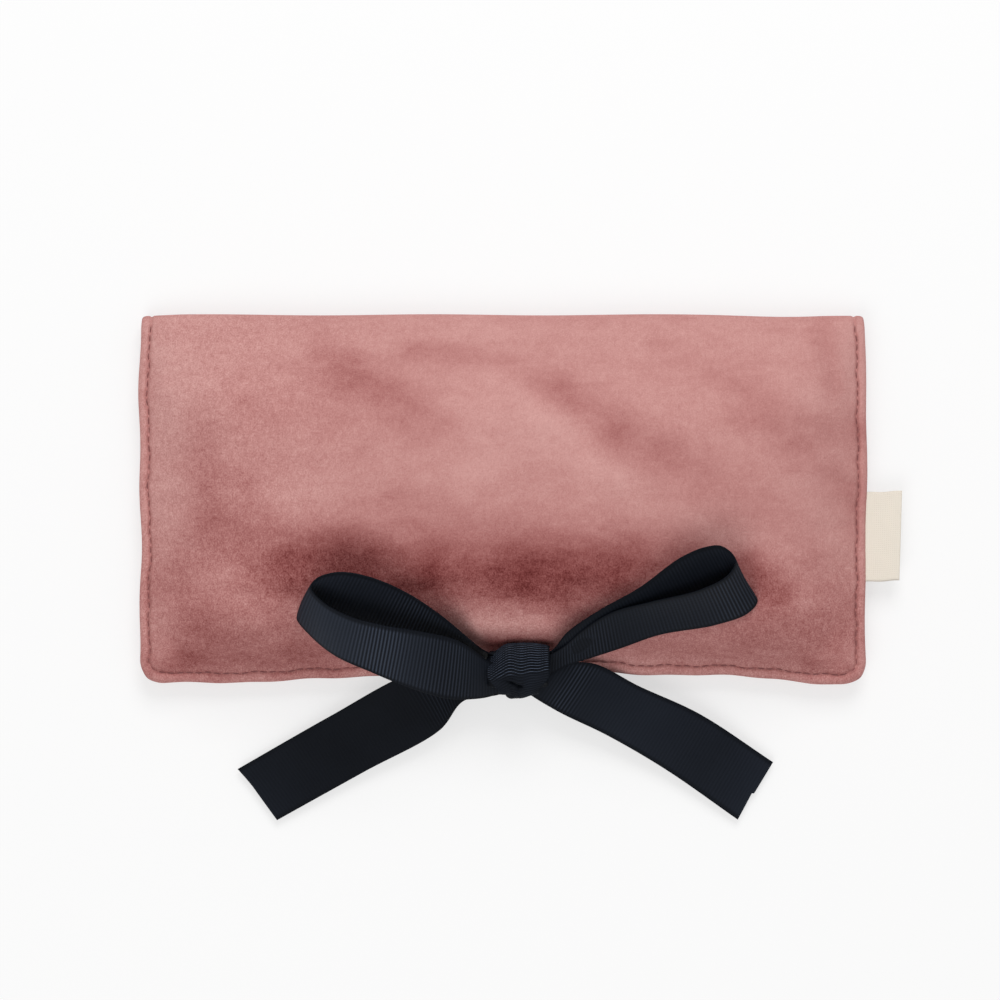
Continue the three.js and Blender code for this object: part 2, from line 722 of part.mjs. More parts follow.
// Ring bar: a stuffed cloth tube, sewn at its left end and snapped at its right end
function addRingBar() {
  const outer = ringBarRadius;
  const inner = ringBarRadius - ringBarCloth;
  const coverProfile = [
    ...arcPoints(0, 0, outer, -Math.PI / 2, 0, domeSteps),
    [outer, ringBarLength],
    [inner, ringBarLength],
    ...arcPoints(0, 0, inner, 0, -Math.PI / 2, domeSteps),
  ];
  coverProfile[0][0] = 0;
  coverProfile[coverProfile.length - 1][0] = 0;
  const core = inner - coreClearance;
  const coreStart = -core * coreReachShare;
  const coreEnd = ringBarLength - coreShort;
  const coreProfile = [[0, coreStart], [core, coreStart], [core, coreEnd], [0, coreEnd]];
  for (const [name, profile, material] of [
    ['ring_bar_cover', coverProfile, lining],
    ['ring_bar_core', coreProfile, foam],
  ]) {
    const mesh = add(name, turned(profile, barSides), material);
    mesh.rotation.z = -Math.PI / 2;
    mesh.position.set(ringBarStart, ringBarY, ringBarZ);
  }

  const tabZ = ringBarZ - snapTabThickness / 2;
  const tabTop = tabZ + snapTabThickness;
  const tabHalf = snapTabWidth / 2;
  const rootHalf = snapTabRootWidth / 2;
  const tabStart = ringBarEnd - snapTabRoot;
  const tabEnd = tabStart + snapTabLength;
  const shoulder = ringBarEnd + layerGap;
  const tab = [
    [tabStart, -rootHalf],
    [shoulder, -rootHalf],
    [shoulder + tabHalf - rootHalf, -tabHalf],
    ...arcPoints(tabEnd - tabHalf, 0, tabHalf, -Math.PI / 2, Math.PI / 2, outlineSteps),
    [shoulder + tabHalf - rootHalf, tabHalf],
    [shoulder, rootHalf],
    [tabStart, rootHalf],
  ];
  add('ring_bar_snap_tab', plate(tab, tabZ, tabTop), lining).position.y = ringBarY;

  const snapX = ringBarEnd + snapInset;
  const socketTop = tabTop + snapHeight;
  const socket = [
    [0, tabTop],
    [snapRadius, tabTop],
    [snapRadius, (tabTop + socketTop) / 2],
    [lerp(snapBoreRadius, snapRadius, snapRimShare), socketTop],
    [snapBoreRadius, socketTop],
    [snapBoreRadius, socketTop - snapBoreDepth],
    [0, socketTop - snapBoreDepth],
  ];
  const cap = [
    [0, tabZ - snapCapHeight],
    [snapCapRadius * snapCapFlatShare, tabZ - snapCapHeight],
    [snapCapRadius, tabZ - snapCapHeight / 2],
    [snapCapRadius, tabZ],
    [0, tabZ],
  ];
  const studTop = flapUnder(snapX + studRadius, ringBarY - studRadius) - studSeat;
  const stud = [
    [0, socketTop + studGap],
    [studPostRadius, socketTop + studGap],
    [studPostRadius, studTop - studFlange],
    [studRadius, studTop - studFlange],
    [studRadius, studTop],
    [0, studTop],
  ];
  for (const [name, profile] of [['snap_socket', socket], ['snap_cap', cap], ['snap_stud', stud]]) {
    const mesh = add(name, turned(profile, snapSides), goldMetal);
    mesh.rotation.x = Math.PI / 2;
    mesh.position.set(snapX, ringBarY, 0);
  }

  const tabRight = ringBarStart - ringBarRadius + baseTabOverlap;
  const under = (x, y) => flapUnder(x, y) - slipGap - baseTabThickness;
  const baseHalf = baseTabWidth / 2;
  const baseLines = through(tabRight - baseTabLength, crownLines(), tabRight);
  const baseRows = evenly(ringBarY - baseHalf, ringBarY + baseHalf, 2);
  add('ring_bar_base_tab', clothPanel(baseLines, baseRows, under, baseTabThickness), lining);
}

// Knot: a barrel-shaped wrap with the gathered ribbon inside it
function addKnot() {
  const half = ribbonWidth * knotWidthShare / 2;
  const ovalRing = (shares, shrink) => {
    const rings = shares.map(([along, share]) => {
      const ring = [];
      for (let k = 0; k < knotSides; k += 1) {
        const angle = 2 * Math.PI * k / knotSides;
        ring.push([
          2 * half * along,
          (knotHalfDepth * share - shrink) * Math.cos(angle),
          (knotHalfHeight * share - shrink) * Math.sin(angle),
        ]);
      }
      return ring;
    });
    return rings;
  };
  const bridge = (faces, a, b) => {
    for (let k = 0; k < knotSides; k += 1) {
      const next = (k + 1) % knotSides;
      faces.push([a + k, a + next, b + next], [a + k, b + next, b + k]);
    }
  };
  const outer = ovalRing(knotBarrelShares, 0);
  const inner = ovalRing(knotBarrelShares, knotWrapThickness).reverse();
  const wrapRings = [...outer, ...inner];
  const wrapFaces = [];
  for (let r = 0; r < wrapRings.length; r += 1) {
    bridge(wrapFaces, r * knotSides, ((r + 1) % wrapRings.length) * knotSides);
  }
  const coreRings = ovalRing(knotCoreShares, knotWrapThickness);
  const coreFaces = [];
  for (let r = 0; r + 1 < coreRings.length; r += 1) bridge(coreFaces, r * knotSides, (r + 1) * knotSides);
  const lastRing = (coreRings.length - 1) * knotSides;
  for (let k = 1; k + 1 < knotSides; k += 1) {
    coreFaces.push([0, k + 1, k], [lastRing, lastRing + k, lastRing + k + 1]);
  }
  for (const [name, rings, faces] of [
    ['bow_knot_wrap', wrapRings, wrapFaces],
    ['bow_knot_core', coreRings, coreFaces],
  ]) {
    add(name, solidFrom(rings.flat(), faces), grosgrain).position.set(knotShift, knotY, knotZ);
  }
}

// A short ribbon end that follows a path of y, z points across the roll's hem
function ribbonTab(path) {
  const half = ribbonWidth * ribbonTabWidthShare / 2;
  const corners = path.map(([y, z]) => new THREE.Vector3(0, y, z));
  const curve = new THREE.CatmullRomCurve3(corners, false, 'centripetal');
  const points = curve.getPoints(outlineSteps);
  const section = [];
  for (const side of [1, -1]) {
    const ordered = side > 0 ? points : [...points].reverse();
    for (const point of ordered) {
      const index = points.indexOf(point);
      const tangent = curve.getTangent(index / outlineSteps);
      const offset = side * ribbonThickness / 2;
      section.push([point.y - tangent.z * offset, point.z + tangent.y * offset]);
    }
  }
  return barAlongX(section, knotShift - half, knotShift + half);
}

function addBow() {
  addKnot();
  add('bow_loop_left', ribbonStrip(leftLoopShares, loopSteps), grosgrain);
  add('bow_loop_right', ribbonStrip(rightLoopShares, loopSteps), grosgrain);
  add('bow_tail_left', ribbonStrip(leftTailShares, tailSteps), grosgrain);
  add('bow_tail_right', ribbonStrip(rightTailShares, tailSteps), grosgrain);

  const hemEdge = hemLine(knotShift + ribbonWidth * ribbonTabWidthShare / 2) - tabSeamGap;
  const flapTabZ = flapHemZ + hemThickness / 2;
  const flapTab = flapTabShares.map(([out, up]) => [hemEdge - tabRise * out, flapTabZ + tabRise * up]);
  add('flap_ribbon_tab', ribbonTab(flapTab), grosgrain);
  const backTabStart = hemEdge + backHemInset;
  const backTab = backTabShares.map(([out, up]) => [
    backTabStart - backTabReach * out,
    hemThickness / 2 + backTabClimb * up,
  ]);
  add('back_ribbon_tab', ribbonTab(backTab), grosgrain);
}

// Label: a woven tape folded once, its ends in the flap's right seam
function addLabel() {
  const start = halfWidth + layerGap;
  const end = halfWidth + labelReach;
  const middle = flapHemZ + hemThickness / 2;
  const outer = labelGap / 2 + labelLayer;
  const bend = end - outer;
  const section = [
    [start, middle - outer],
    ...arcPoints(bend, middle, outer, -Math.PI / 2, Math.PI / 2, outlineSteps),
    [start, middle + outer],
    [start, middle + labelGap / 2],
    ...arcPoints(bend, middle, labelGap / 2, Math.PI / 2, -Math.PI / 2, outlineSteps),
    [start, middle - labelGap / 2],
  ];
  const half = labelWidth / 2;
  add('side_label', barAlongY(section, labelCentre - half, labelCentre + half), labelTape);
}

addBackCover();
addFold();
addPockets();
addZip('upper', upperZipY);
addZip('lower', lowerZipY);
addSlider('upper', sliderRest, upperZipY, -1);
addSlider('lower', -sliderRest, lowerZipY, 1);
addFlapCover();
addSlipPocket();
addRingBar();
addBow();
addLabel();

export default roll;
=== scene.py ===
"""Looks of a velvet jewelry roll tied with a ribbon bow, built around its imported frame.

Lengths are in metres. +X runs right along the fold, +Y towards the fold, +Z up.
"""

import math

import bmesh
import bpy
import numpy as np
from bpy.props import FloatProperty, FloatVectorProperty, PointerProperty
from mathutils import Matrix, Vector


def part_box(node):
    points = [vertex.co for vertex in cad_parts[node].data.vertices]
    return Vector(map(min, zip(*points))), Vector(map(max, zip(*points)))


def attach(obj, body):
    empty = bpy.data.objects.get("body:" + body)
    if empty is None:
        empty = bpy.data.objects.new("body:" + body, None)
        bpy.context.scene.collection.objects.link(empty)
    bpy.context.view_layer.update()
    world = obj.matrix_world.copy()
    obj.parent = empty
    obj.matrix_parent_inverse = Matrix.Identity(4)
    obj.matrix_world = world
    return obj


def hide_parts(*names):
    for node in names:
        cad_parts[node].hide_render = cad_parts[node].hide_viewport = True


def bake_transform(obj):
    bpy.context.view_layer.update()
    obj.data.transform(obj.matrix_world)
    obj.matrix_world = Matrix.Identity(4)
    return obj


bl_info = {
    "name": "Velvet Jewelry Roll",
    "version": (1, 0, 0),
    "blender": (4, 5, 0),
    "location": "3D View > Sidebar > Jewelry Roll",
    "description": "Builds the cloth, ribbon and metal pieces of a velvet jewelry roll around its frame",
    "category": "Add Mesh",
}

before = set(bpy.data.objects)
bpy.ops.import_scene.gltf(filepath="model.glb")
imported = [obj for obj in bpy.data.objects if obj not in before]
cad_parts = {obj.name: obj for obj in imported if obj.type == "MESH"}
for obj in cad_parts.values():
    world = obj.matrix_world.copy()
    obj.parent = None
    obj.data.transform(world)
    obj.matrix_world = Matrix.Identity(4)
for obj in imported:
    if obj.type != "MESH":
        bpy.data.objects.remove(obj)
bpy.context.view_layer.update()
MM = 0.001

# Places read from the frame
HALF_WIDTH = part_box("flap_shell")[1].x
HALF_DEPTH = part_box("fold_shell")[1].y
FOLD_EDGE_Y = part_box("flap_shell")[1].y
FOLD_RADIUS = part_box("fold_shell")[1].z / 2
FOLD_Z = FOLD_RADIUS
FOLD_Y = HALF_DEPTH - FOLD_RADIUS
FLAP_HEM_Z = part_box("flap_lining")[0].z
HEM_THICKNESS = 2 * FOLD_RADIUS - FLAP_HEM_Z
COVER_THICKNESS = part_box("back_lining")[1].z
KNOT_LOW, KNOT_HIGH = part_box("bow_knot_wrap")
KNOT = (KNOT_LOW + KNOT_HIGH) / 2
LABEL_LOW, LABEL_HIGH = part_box("side_label")

# The cover's outline and crown as the frame's solids have them, with rounder hem corners
CORNER_RADIUS = 8 * MM
HEM_WIDTH = 3.2 * MM
HEM_BLEND = 6 * MM
HEM_DRAW = 4.5 * MM
HEM_DRAW_REACH = 42 * MM
SIDE_RUN = 32 * MM
HEM_RUN = 22 * MM
FOLD_RUN = 30 * MM
DOME_RISE = 1.8 * MM
CINCH_SHARE = 0.92
CINCH_REACH = (26 * MM, 14 * MM)
LINING_THICKNESS = 0.6 * MM
CROWN_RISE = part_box("flap_lining")[1].z - LINING_THICKNESS - FLAP_HEM_Z - DOME_RISE
BACK_HEM_INSET = 0.8 * MM
STITCH_GROOVE_REACH = 0.36 * MM
HEM_GAP = 0.03 * MM
FOLD_NAP = 0.16

# Crush marks in the velvet, with painted shade and painted highlights among them: x0, y0, x1, y1 in half widths and
# half depths, reach and rise in mm, darkness
MARK_AND_SHADE_SHARES = [
    (-0.5, 0.8, -0.27, 0.53, 4.6, -0.45, 0.2),
    (-0.42, 0.62, -0.2, 0.42, 5, -0.3, 0.16),
    (-0.25, 0.81, -0.12, 0.79, 3, -0.25, 0.22),
    (-0.05, 0.76, 0.16, 0.58, 4, -0.4, 0.15),
    (0.16, 0.58, 0.3, 0.38, 4.4, -0.5, 0.19),
    (0.32, 0.36, 0.54, 0.12, 5.2, -0.7, 0.2),
    (0.41, 0.86, 0.5, 0.72, 2.6, -0.25, 0.08),
    (0.57, 0.66, 0.73, 0.53, 3, -0.35, 0.15),
    (0.88, 0.9, 0.9, 0.62, 3, -0.4, 0.2),
    (0.66, 0.45, 0.97, 0.36, 4.2, -0.4, 0.2),
    (0.8, 0.28, 0.96, 0, 5, -0.4, 0.2),
    (-0.82, 0.36, -0.79, -0.1, 5, -0.5, 0.24),
    (-0.79, -0.1, -0.68, -0.3, 6.4, -0.5, 0.19),
    (-0.7, 0.1, -0.66, -0.1, 3.6, -0.3, 0.16),
    (-0.3, 0, -0.09, -0.16, 6.4, -0.3, 0.14),
    (0.66, 0.04, 0.78, -0.1, 6, -0.3, 0.12),
    (-0.88, -0.86, -0.48, -0.92, 2.8, -0.3, 0.22),
    (-0.83, -0.62, -0.9, -0.46, 6.4, -0.2, 0.3),
    (0.66, -0.6, 0.9, -0.7, 5, -0.3, 0.12),
    (0.86, -0.4, 0.94, -0.66, 6.4, -0.2, 0.2),
    (0.5, -0.88, 0.86, -0.92, 2.6, -0.2, 0.08),
    (-0.84, -0.3, -0.62, -0.36, 7, -0.2, 0.13),
    # Painted shade: a dark band that hugs the tops of the bow's loops, where they shade the velvet
    (-0.56, -0.35, -0.42, -0.37, 8, -0.8, 0.54),
    (-0.42, -0.37, -0.27, -0.42, 8.4, -1, 0.53),
    (-0.17, -0.4, 0.13, -0.42, 7.4, -1, 0.56),
    (0.06, -0.39, 0.3, -0.36, 8, -1, 0.4),
    (0.3, -0.39, 0.5, -0.33, 6.4, -0.8, 0.42),
    # Painted shadow hugging the right loop's tip
    (0.66, -0.36, 0.74, -0.5, 4.6, -0.2, 0.5),
    # The puff over the knot: a real rise, lightened as a painted highlight
    (-0.07, -0.73, 0.12, -0.73, 6, 7.6, -0.13),
    (-0.14, -0.61, 0.06, -0.63, 4.6, 0, -0.18),
    # Painted shade in a thin ring along the knot's top
    (-0.03, -0.785, 0.12, -0.785, 1.9, 0, 0.5),
    # Lighter strokes: painted highlights along ridges of the pile
    (-0.02, 0.66, 0.3, 0.1, 3.6, 0.3, -0.1),
    (-0.3, 0.3, -0.1, 0.1, 9, 0.4, -0.06),
    (-0.1, 0.8, 0.05, 0.5, 13, 0, -0.05),
    (-0.66, 0.34, -0.18, 0.3, 7, 0, 0.08),
    (-0.02, -0.1, 0.15, -0.12, 6, 0, 0.06),
    (-0.53, 0.57, -0.46, 0.51, 5, 0, 0.08),
    (-0.57, -0.84, -0.43, -0.86, 3.4, 0, 0.14),
    (-0.71, -0.62, -0.6, -0.64, 5, 0, 0.08),
    (0.84, -0.9, 0.95, -0.93, 2.6, 0, 0.18),
    (-0.96, -0.92, -0.78, -0.95, 2.6, 0, 0.16),
    (-0.6, -0.42, -0.52, -0.47, 4, 0, 0.12),
    (-0.97, -0.84, -0.86, -0.88, 3.6, 0, 0.1),
    (-0.7, 0.5, -0.64, 0.36, 8, 0.4, 0.07),
]

# Ribbon rails in ribbon widths from the knot's centre: x, y, z on the upper edge, then on the lower
LEFT_LOOP_SHARES = [
    (-0.12, 0.1, 0, -0.12, 0.02, -0.12),
    (-0.475, 0.26, 0.17, -0.475, 0.14, -0.17),
    (-0.68, 0.43, 0.48, -0.78, 0.04, -0.06),
    (-1.1, 0.79, 0.76, -1.33, 0.24, 0.1),
    (-1.59, 1.12, 0.98, -1.89, 0.54, 0.28),
    (-2.08, 1.33, 1.12, -2.4, 0.74, 0.41),
    (-2.49, 1.4, 1.16, -2.8, 0.82, 0.44),
    (-2.8, 1.32, 1.16, -3.06, 0.84, 0.44),
    (-2.9, 1.19, 1.16, -3.13, 0.74, 0.44),
    (-2.77, 1.01, 1.14, -2.95, 0.5, 0.42),
    (-2.42, 0.8, 1.1, -2.6, 0.21, 0.38),
    (-1.94, 0.66, 1.04, -2.08, -0.03, 0.32),
    (-1.38, 0.56, 0.85, -1.53, -0.26, 0.24),
    (-0.89, 0.44, 0.66, -0.99, -0.42, 0.12),
    (-0.6, 0.26, 0.42, -0.62, -0.43, -0.05),
    (-0.42, 0.12, 0.24, -0.4, -0.4, -0.16),
    (-0.12, 0.04, 0.05, -0.14, -0.3, -0.2),
]
RIGHT_LOOP_SHARES = [
    (0.12, 0.1, 0, 0.12, 0, -0.12),
    (0.475, 0.26, 0.17, 0.475, 0.15, -0.17),
    (0.7, 0.54, 0.48, 0.86, 0.15, -0.02),
    (1.15, 0.86, 0.75, 1.4, 0.4, 0.18),
    (1.7, 1.18, 0.98, 1.99, 0.65, 0.36),
    (2.26, 1.6, 1.16, 2.58, 1.05, 0.48),
    (2.61, 1.75, 1.16, 2.96, 1.19, 0.48),
    (2.84, 1.76, 1.16, 3.2, 1.18, 0.48),
    (3.03, 1.57, 1.16, 3.38, 0.99, 0.48),
    (2.93, 1.36, 1.14, 3.25, 0.81, 0.44),
    (2.54, 1.15, 1.1, 2.79, 0.64, 0.38),
    (1.83, 0.97, 0.96, 2.01, 0.5, 0.3),
    (1.33, 0.83, 0.78, 1.45, 0.3, 0.17),
    (0.9, 0.56, 0.53, 0.95, 0.13, 0),
    (0.66, 0.34, 0.32, 0.68, 0.04, -0.1),
    (0.44, 0.2, 0.14, 0.42, -0.08, -0.15),
    (0.12, 0.06, 0, 0.12, -0.08, -0.15),
]
LEFT_TAIL_SHARES = [
    (0.05, 0, -0.1, 0.05, -0.2, -0.2),
    (-0.42, 0.02, -0.2, -0.26, -0.38, -0.3),
    (-0.9, 0.06, -0.25, -0.78, -0.48, -0.35),
    (-1.59, -0.1, -0.29, -1.12, -0.9, -0.46),
    (-2.71, -0.71, -0.55, -2.21, -1.51, -0.6),
    (-4.05, -1.48, -0.69, -3.48, -2.22, -0.69),
]
RIGHT_TAIL_SHARES = [
    (0.02, 0, -0.08, -0.06, -0.2, -0.2),
    (0.45, 0.05, -0.16, 0.17, -0.38, -0.29),
    (1.06, 0.07, -0.22, 0.6, -0.64, -0.34),
    (1.75, -0.27, -0.36, 1.29, -0.98, -0.46),
    (2.63, -0.68, -0.53, 2.15, -1.49, -0.6),
    (3.69, -1.38, -0.69, 3.19, -2.22, -0.69),
]


class VelvetSettings(bpy.types.PropertyGroup):
    """The velvet covers and their rolled, topstitched hem"""

    light: FloatVectorProperty(
        name="Raised nap", description="Velvet colour where the pile catches the light",
        subtype="COLOR", default=(0.63, 0.325, 0.303),
    )
    # The crushed colour is also the colour of painted shade where the nap holds it
    dark: FloatVectorProperty(
        name="Crushed nap", description="Velvet colour where the pile is pressed down",
        subtype="COLOR", default=(0.17, 0.036, 0.0345),
    )
    thread: FloatVectorProperty(
        name="Thread", description="Colour of the topstitch thread",
        subtype="COLOR", default=(0.2, 0.06, 0.058),
    )
    thickness: FloatProperty(
        name="Velvet thickness", description="Thickness of the velvet with its pile",
        unit="LENGTH", default=0.7 * MM,
    )
    hem_roll: FloatProperty(name="Hem roll", description="Radius of the rolled edge", unit="LENGTH", default=1.75 * MM)
    groove: FloatProperty(
        name="Stitch groove", description="Depth that the topstitch pulls the hem in",
        unit="LENGTH", default=0.95 * MM,
    )
    stitch: FloatProperty(name="Stitch length", description="Length of one topstitch", unit="LENGTH", default=2.9 * MM)
    thread_radius: FloatProperty(
        name="Thread radius", description="Radius of the topstitch thread",
        unit="LENGTH", default=0.2 * MM,
    )


class RibbonSettings(bpy.types.PropertyGroup):
    """The grosgrain ribbon of the bow"""

    colour: FloatVectorProperty(
        name="Ribbon", description="Colour of the grosgrain",
        subtype="COLOR", default=(0.0102, 0.0138, 0.0222),
    )
    width: FloatProperty(name="Width", description="Width of the ribbon", unit="LENGTH", default=22 * MM)
    thickness: FloatProperty(name="Thickness", description="Thickness of the ribbon", unit="LENGTH", default=0.55 * MM)
    pitch: FloatProperty(name="Rib pitch", description="Distance between two ribs", unit="LENGTH", default=1.12 * MM)
    rib: FloatProperty(name="Rib height", description="Height of a rib", unit="LENGTH", default=0.16 * MM)


class InsideSettings(bpy.types.PropertyGroup):
    """The lining, pockets, zips and ring bar inside the roll"""

    lining: FloatVectorProperty(
        name="Lining", description="Colour of the lining cloth",
        subtype="COLOR", default=(0.76, 0.585, 0.55),
    )
    tape: FloatVectorProperty(
        name="Zip tape", description="Colour of the zip tape",
        subtype="COLOR", default=(0.45, 0.2, 0.2),
    )
    coil: FloatVectorProperty(
        name="Zip coil", description="Colour of the zip's nylon turns",
        subtype="COLOR", default=(0.36, 0.15, 0.155),
    )
    metal: FloatVectorProperty(
        name="Metal", description="Colour of the plated metal",
        subtype="COLOR", default=(0.78, 0.56, 0.3),
    )
    tooth_pitch: FloatProperty(
        name="Coil pitch", description="Distance between two turns of a zip coil",
        unit="LENGTH", default=1.3 * MM,
    )


class LabelSettings(bpy.types.PropertyGroup):
    """The bare tape label in the side seam"""

    colour: FloatVectorProperty(
        name="Label", description="Colour of the woven tape",
        subtype="COLOR", default=(0.9, 0.83, 0.72),
    )


class StageSettings(bpy.types.PropertyGroup):
    """The floor, lamps and camera"""

    distance: FloatProperty(
        name="Camera distance", description="Height of the camera over the floor",
        unit="LENGTH", default=1.195,
    )
    lens: FloatProperty(name="Lens", description="Focal length of the camera in millimetres", default=135)
    key: FloatProperty(name="Key lamp", description="Power of the key lamp in watts", default=11.3)
    sky: FloatProperty(name="Sky", description="Strength of the even light", default=0.46)
    floor: FloatVectorProperty(
        name="Floor", description="Colour of the floor", subtype="COLOR", default=(0.965, 0.965, 0.965),
    )


def velvet_settings():
    return bpy.context.scene.roll_velvet


def ribbon_settings():
    return bpy.context.scene.roll_ribbon


def inside_settings():
    return bpy.context.scene.roll_inside


# Plain curves, for numbers and arrays alike


def arch(distance, run):
    return np.sin(np.clip(distance / run, 0, 1) * np.pi / 2)


def bell(distance, reach):
    return np.exp(-((distance / reach) ** 2) / 2)


def smooth(value):
    share = np.clip(value, 0, 1)
    return share * share * (3 - 2 * share)


def hem_line(x):
    return -HALF_DEPTH + HEM_DRAW * bell(x - KNOT.x, HEM_DRAW_REACH)


def edge_distance(x, y, inset=0.0):
    side = HALF_WIDTH - inset - np.abs(x)
    hem = y - hem_line(x) - inset
    return side, hem


def crown(x, y):
    side, hem = edge_distance(x, y)
    reach_x, reach_y = CINCH_REACH
    cinch = CINCH_SHARE * np.exp(-(((x - KNOT.x) / reach_x) ** 2) - ((y - KNOT.y) / reach_y) ** 2)
    sides = arch(side - HEM_WIDTH, SIDE_RUN)
    ends = arch(hem - HEM_WIDTH, HEM_RUN) * arch(FOLD_EDGE_Y - y, FOLD_RUN)
    return sides * ends * (1 - cinch)


def swell(x, y, inset=0.0):
    side, hem = edge_distance(x, y, inset)
    return arch(np.minimum(np.minimum(side, hem) - HEM_WIDTH, FOLD_EDGE_Y - y), HEM_BLEND)


def flap_under(x, y):
    dome = DOME_RISE * (1 - (x / HALF_WIDTH) ** 2) * (1 - (y / HALF_DEPTH) ** 2)
    return FLAP_HEM_Z + (CROWN_RISE + dome) * crown(x, y)


SETTLED = {}
SETTLING_GRID = (56, 108)


def settling_share(x, y):
    """Place of a plan point on the settling grid, as shares of the sewn area across and along"""
    low = hem_line(x) + HEM_WIDTH
    half = HALF_WIDTH - HEM_WIDTH
    return (x + half) / (2 * half), (y - low) / (FOLD_EDGE_Y - low)


def settled_rise(x, y):
    """How far the settled velvet stands over its pattern at plan points"""
    if "rise" not in SETTLED:
        return np.zeros_like(x)
    rise = SETTLED["rise"]
    rows, columns = rise.shape
    u, v = settling_share(x, y)
    inside = (u >= 0) & (u <= 1) & (v >= 0) & (v <= 1)
    u = np.clip(u, 0, 1) * (columns - 1)
    v = np.clip(v, 0, 1) * (rows - 1)
    i = np.minimum(u.astype(int), columns - 2)
    j = np.minimum(v.astype(int), rows - 2)
    a, b = smooth(u - i), smooth(v - j)
    low = rise[j, i] * (1 - a) + rise[j, i + 1] * a
    high = rise[j + 1, i] * (1 - a) + rise[j + 1, i + 1] * a
    return np.where(inside, low * (1 - b) + high * b, 0)


def settle_velvet():
    """Lets a coarse copy of the flap's velvet, cut a little full, settle on its stuffing as cloth"""
    scene = bpy.context.scene
    size, frames = 10, 26
    rows, columns = SETTLING_GRID
    half = HALF_WIDTH - HEM_WIDTH
    x = np.repeat(np.linspace(-half, half, columns)[None], rows, axis=0)
    low = hem_line(x) + HEM_WIDTH
    y = low + (FOLD_EDGE_Y - low) * np.linspace(0, 1, rows)[:, None]
    z = flap_top(x, y) + flap_softness(x, y)[0]
    piece = new_object("settling_velvet", grid(x, y, z).reshape(-1, 3) * size,
                       grid_faces(rows, columns), None)
    held = np.zeros((rows, columns))
    held[:2] = held[-2:] = 1
    held[:, :2] = held[:, -2:] = 1
    held = np.maximum(held, bell(np.hypot((x - KNOT.x) / 1.4, y - KNOT.y), 9 * MM))
    group = piece.vertex_groups.new(name="held")
    for index, weight in enumerate(held.ravel()):
        if weight > 0.05:
            group.add([index], float(weight), "REPLACE")
    cloth = piece.modifiers.new("velvet", "CLOTH")
    values = {
        "quality": 6, "mass": 0.4, "tension_stiffness": 14, "compression_stiffness": 10, "shear_stiffness": 6,
        "bending_stiffness": 0.9, "vertex_group_mass": "held", "shrink_min": -0.014, "use_pressure": True,
        "uniform_pressure_force": 1.6,
    }
    for key, value in values.items():
        setattr(cloth.settings, key, value)
    cloth.settings.effector_weights.gravity = 0
    cloth.point_cache.frame_start = 1
    cloth.point_cache.frame_end = frames
    for frame_number in range(1, frames + 1):
        scene.frame_set(frame_number)
    graph = bpy.context.evaluated_depsgraph_get()
    mesh = piece.evaluated_get(graph).to_mesh()
    places = np.zeros(len(mesh.vertices) * 3)
    mesh.vertices.foreach_get("co", places)
    piece.evaluated_get(graph).to_mesh_clear()
    rise = places.reshape(rows, columns, 3)[..., 2] / size - z
    old = piece.data
    bpy.data.objects.remove(piece)
    bpy.data.meshes.remove(old)
    scene.frame_set(1)
    rise -= 0.55 * np.median(rise[8:-8, 8:-8])
    limit = 2.2 * MM
    sewn = arch(np.minimum(y - low, half - np.abs(x)), 6 * MM) * smooth((FOLD_EDGE_Y - y) / (20 * MM))
    return limit * np.tanh(rise / limit) * sewn


def fold_fullness(x, y):
    """How far the padding pushes the velvet out beside the fold"""
    side, _ = edge_distance(x, y)
    return 2.2 * MM * arch(side - HEM_WIDTH, SIDE_RUN) * bell(y - FOLD_EDGE_Y, 4.5 * MM)


def relief(x, y):
    """Rise of the crush marks and drag folds, and how dark they leave the pile, painted shade and highlights included
    """
    rise = np.zeros_like(x)
    clear = np.ones_like(x)
    lighter = np.zeros_like(x)
    for x0, y0, x1, y1, reach, height, dark in MARK_AND_SHADE_SHARES:
        ax, ay = x0 * HALF_WIDTH, y0 * HALF_DEPTH
        dx, dy = (x1 - x0) * HALF_WIDTH, (y1 - y0) * HALF_DEPTH
        share = np.clip(((x - ax) * dx + (y - ay) * dy) / (dx * dx + dy * dy), 0, 1)
        away = np.hypot(x - ax - share * dx, y - ay - share * dy)
        weight = bell(away, reach * MM)
        rise += 0.8 * height * MM * bell(away, 0.75 * reach * MM)
        if dark > 0:
            clear *= 1 - dark * weight
        else:
            lighter += dark * weight
    return rise, 1 - clear + lighter


def softness(x, y):
    """Slow swells of the padding, as a sum of plain waves"""
    waves = (
        (61, 0.9, 0.35, 0.3), (97, -1.1, 1.7, 0.22), (143, 0.5, 2.6, 0.16), (210, 1.3, 4.1, 0.1),
        (310, -0.7, 5.3, 0.06),
    )
    total = np.zeros_like(x)
    for turns, slant, phase, height in waves:
        total += height * MM * np.sin(turns * (x + slant * y) + phase) * np.cos(turns * 0.8 * (y - slant * x))
    return total


# Mesh helpers


def fit(piece, body, slot, *nodes):
    """Hides the solids that a piece stands for and hangs it on the body that it rides on; the material slot is not
    used
    """
    if nodes:
        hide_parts(*nodes)
    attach(piece, body)


def level(value):
    """A straight edge: one value at every place"""
    return lambda x: 0 * x + value


def arc_points(x, y, radius, count, start=-math.pi / 2, end=math.pi / 2):
    return [(x + radius * math.cos(a), y + radius * math.sin(a)) for a in np.linspace(start, end, count)]


def grid(x, y, z):
    return np.stack([x, y, z], axis=2)


def running_length(points):
    """Length along a line of points, from nothing at its first"""
    return np.concatenate([[0], np.cumsum(np.linalg.norm(np.diff(points, axis=0), axis=1))])


def averaged(values, count):
    """Running mean over an odd count of values"""
    return np.convolve(np.pad(values, count // 2, mode="edge"), np.ones(count) / count, mode="valid")


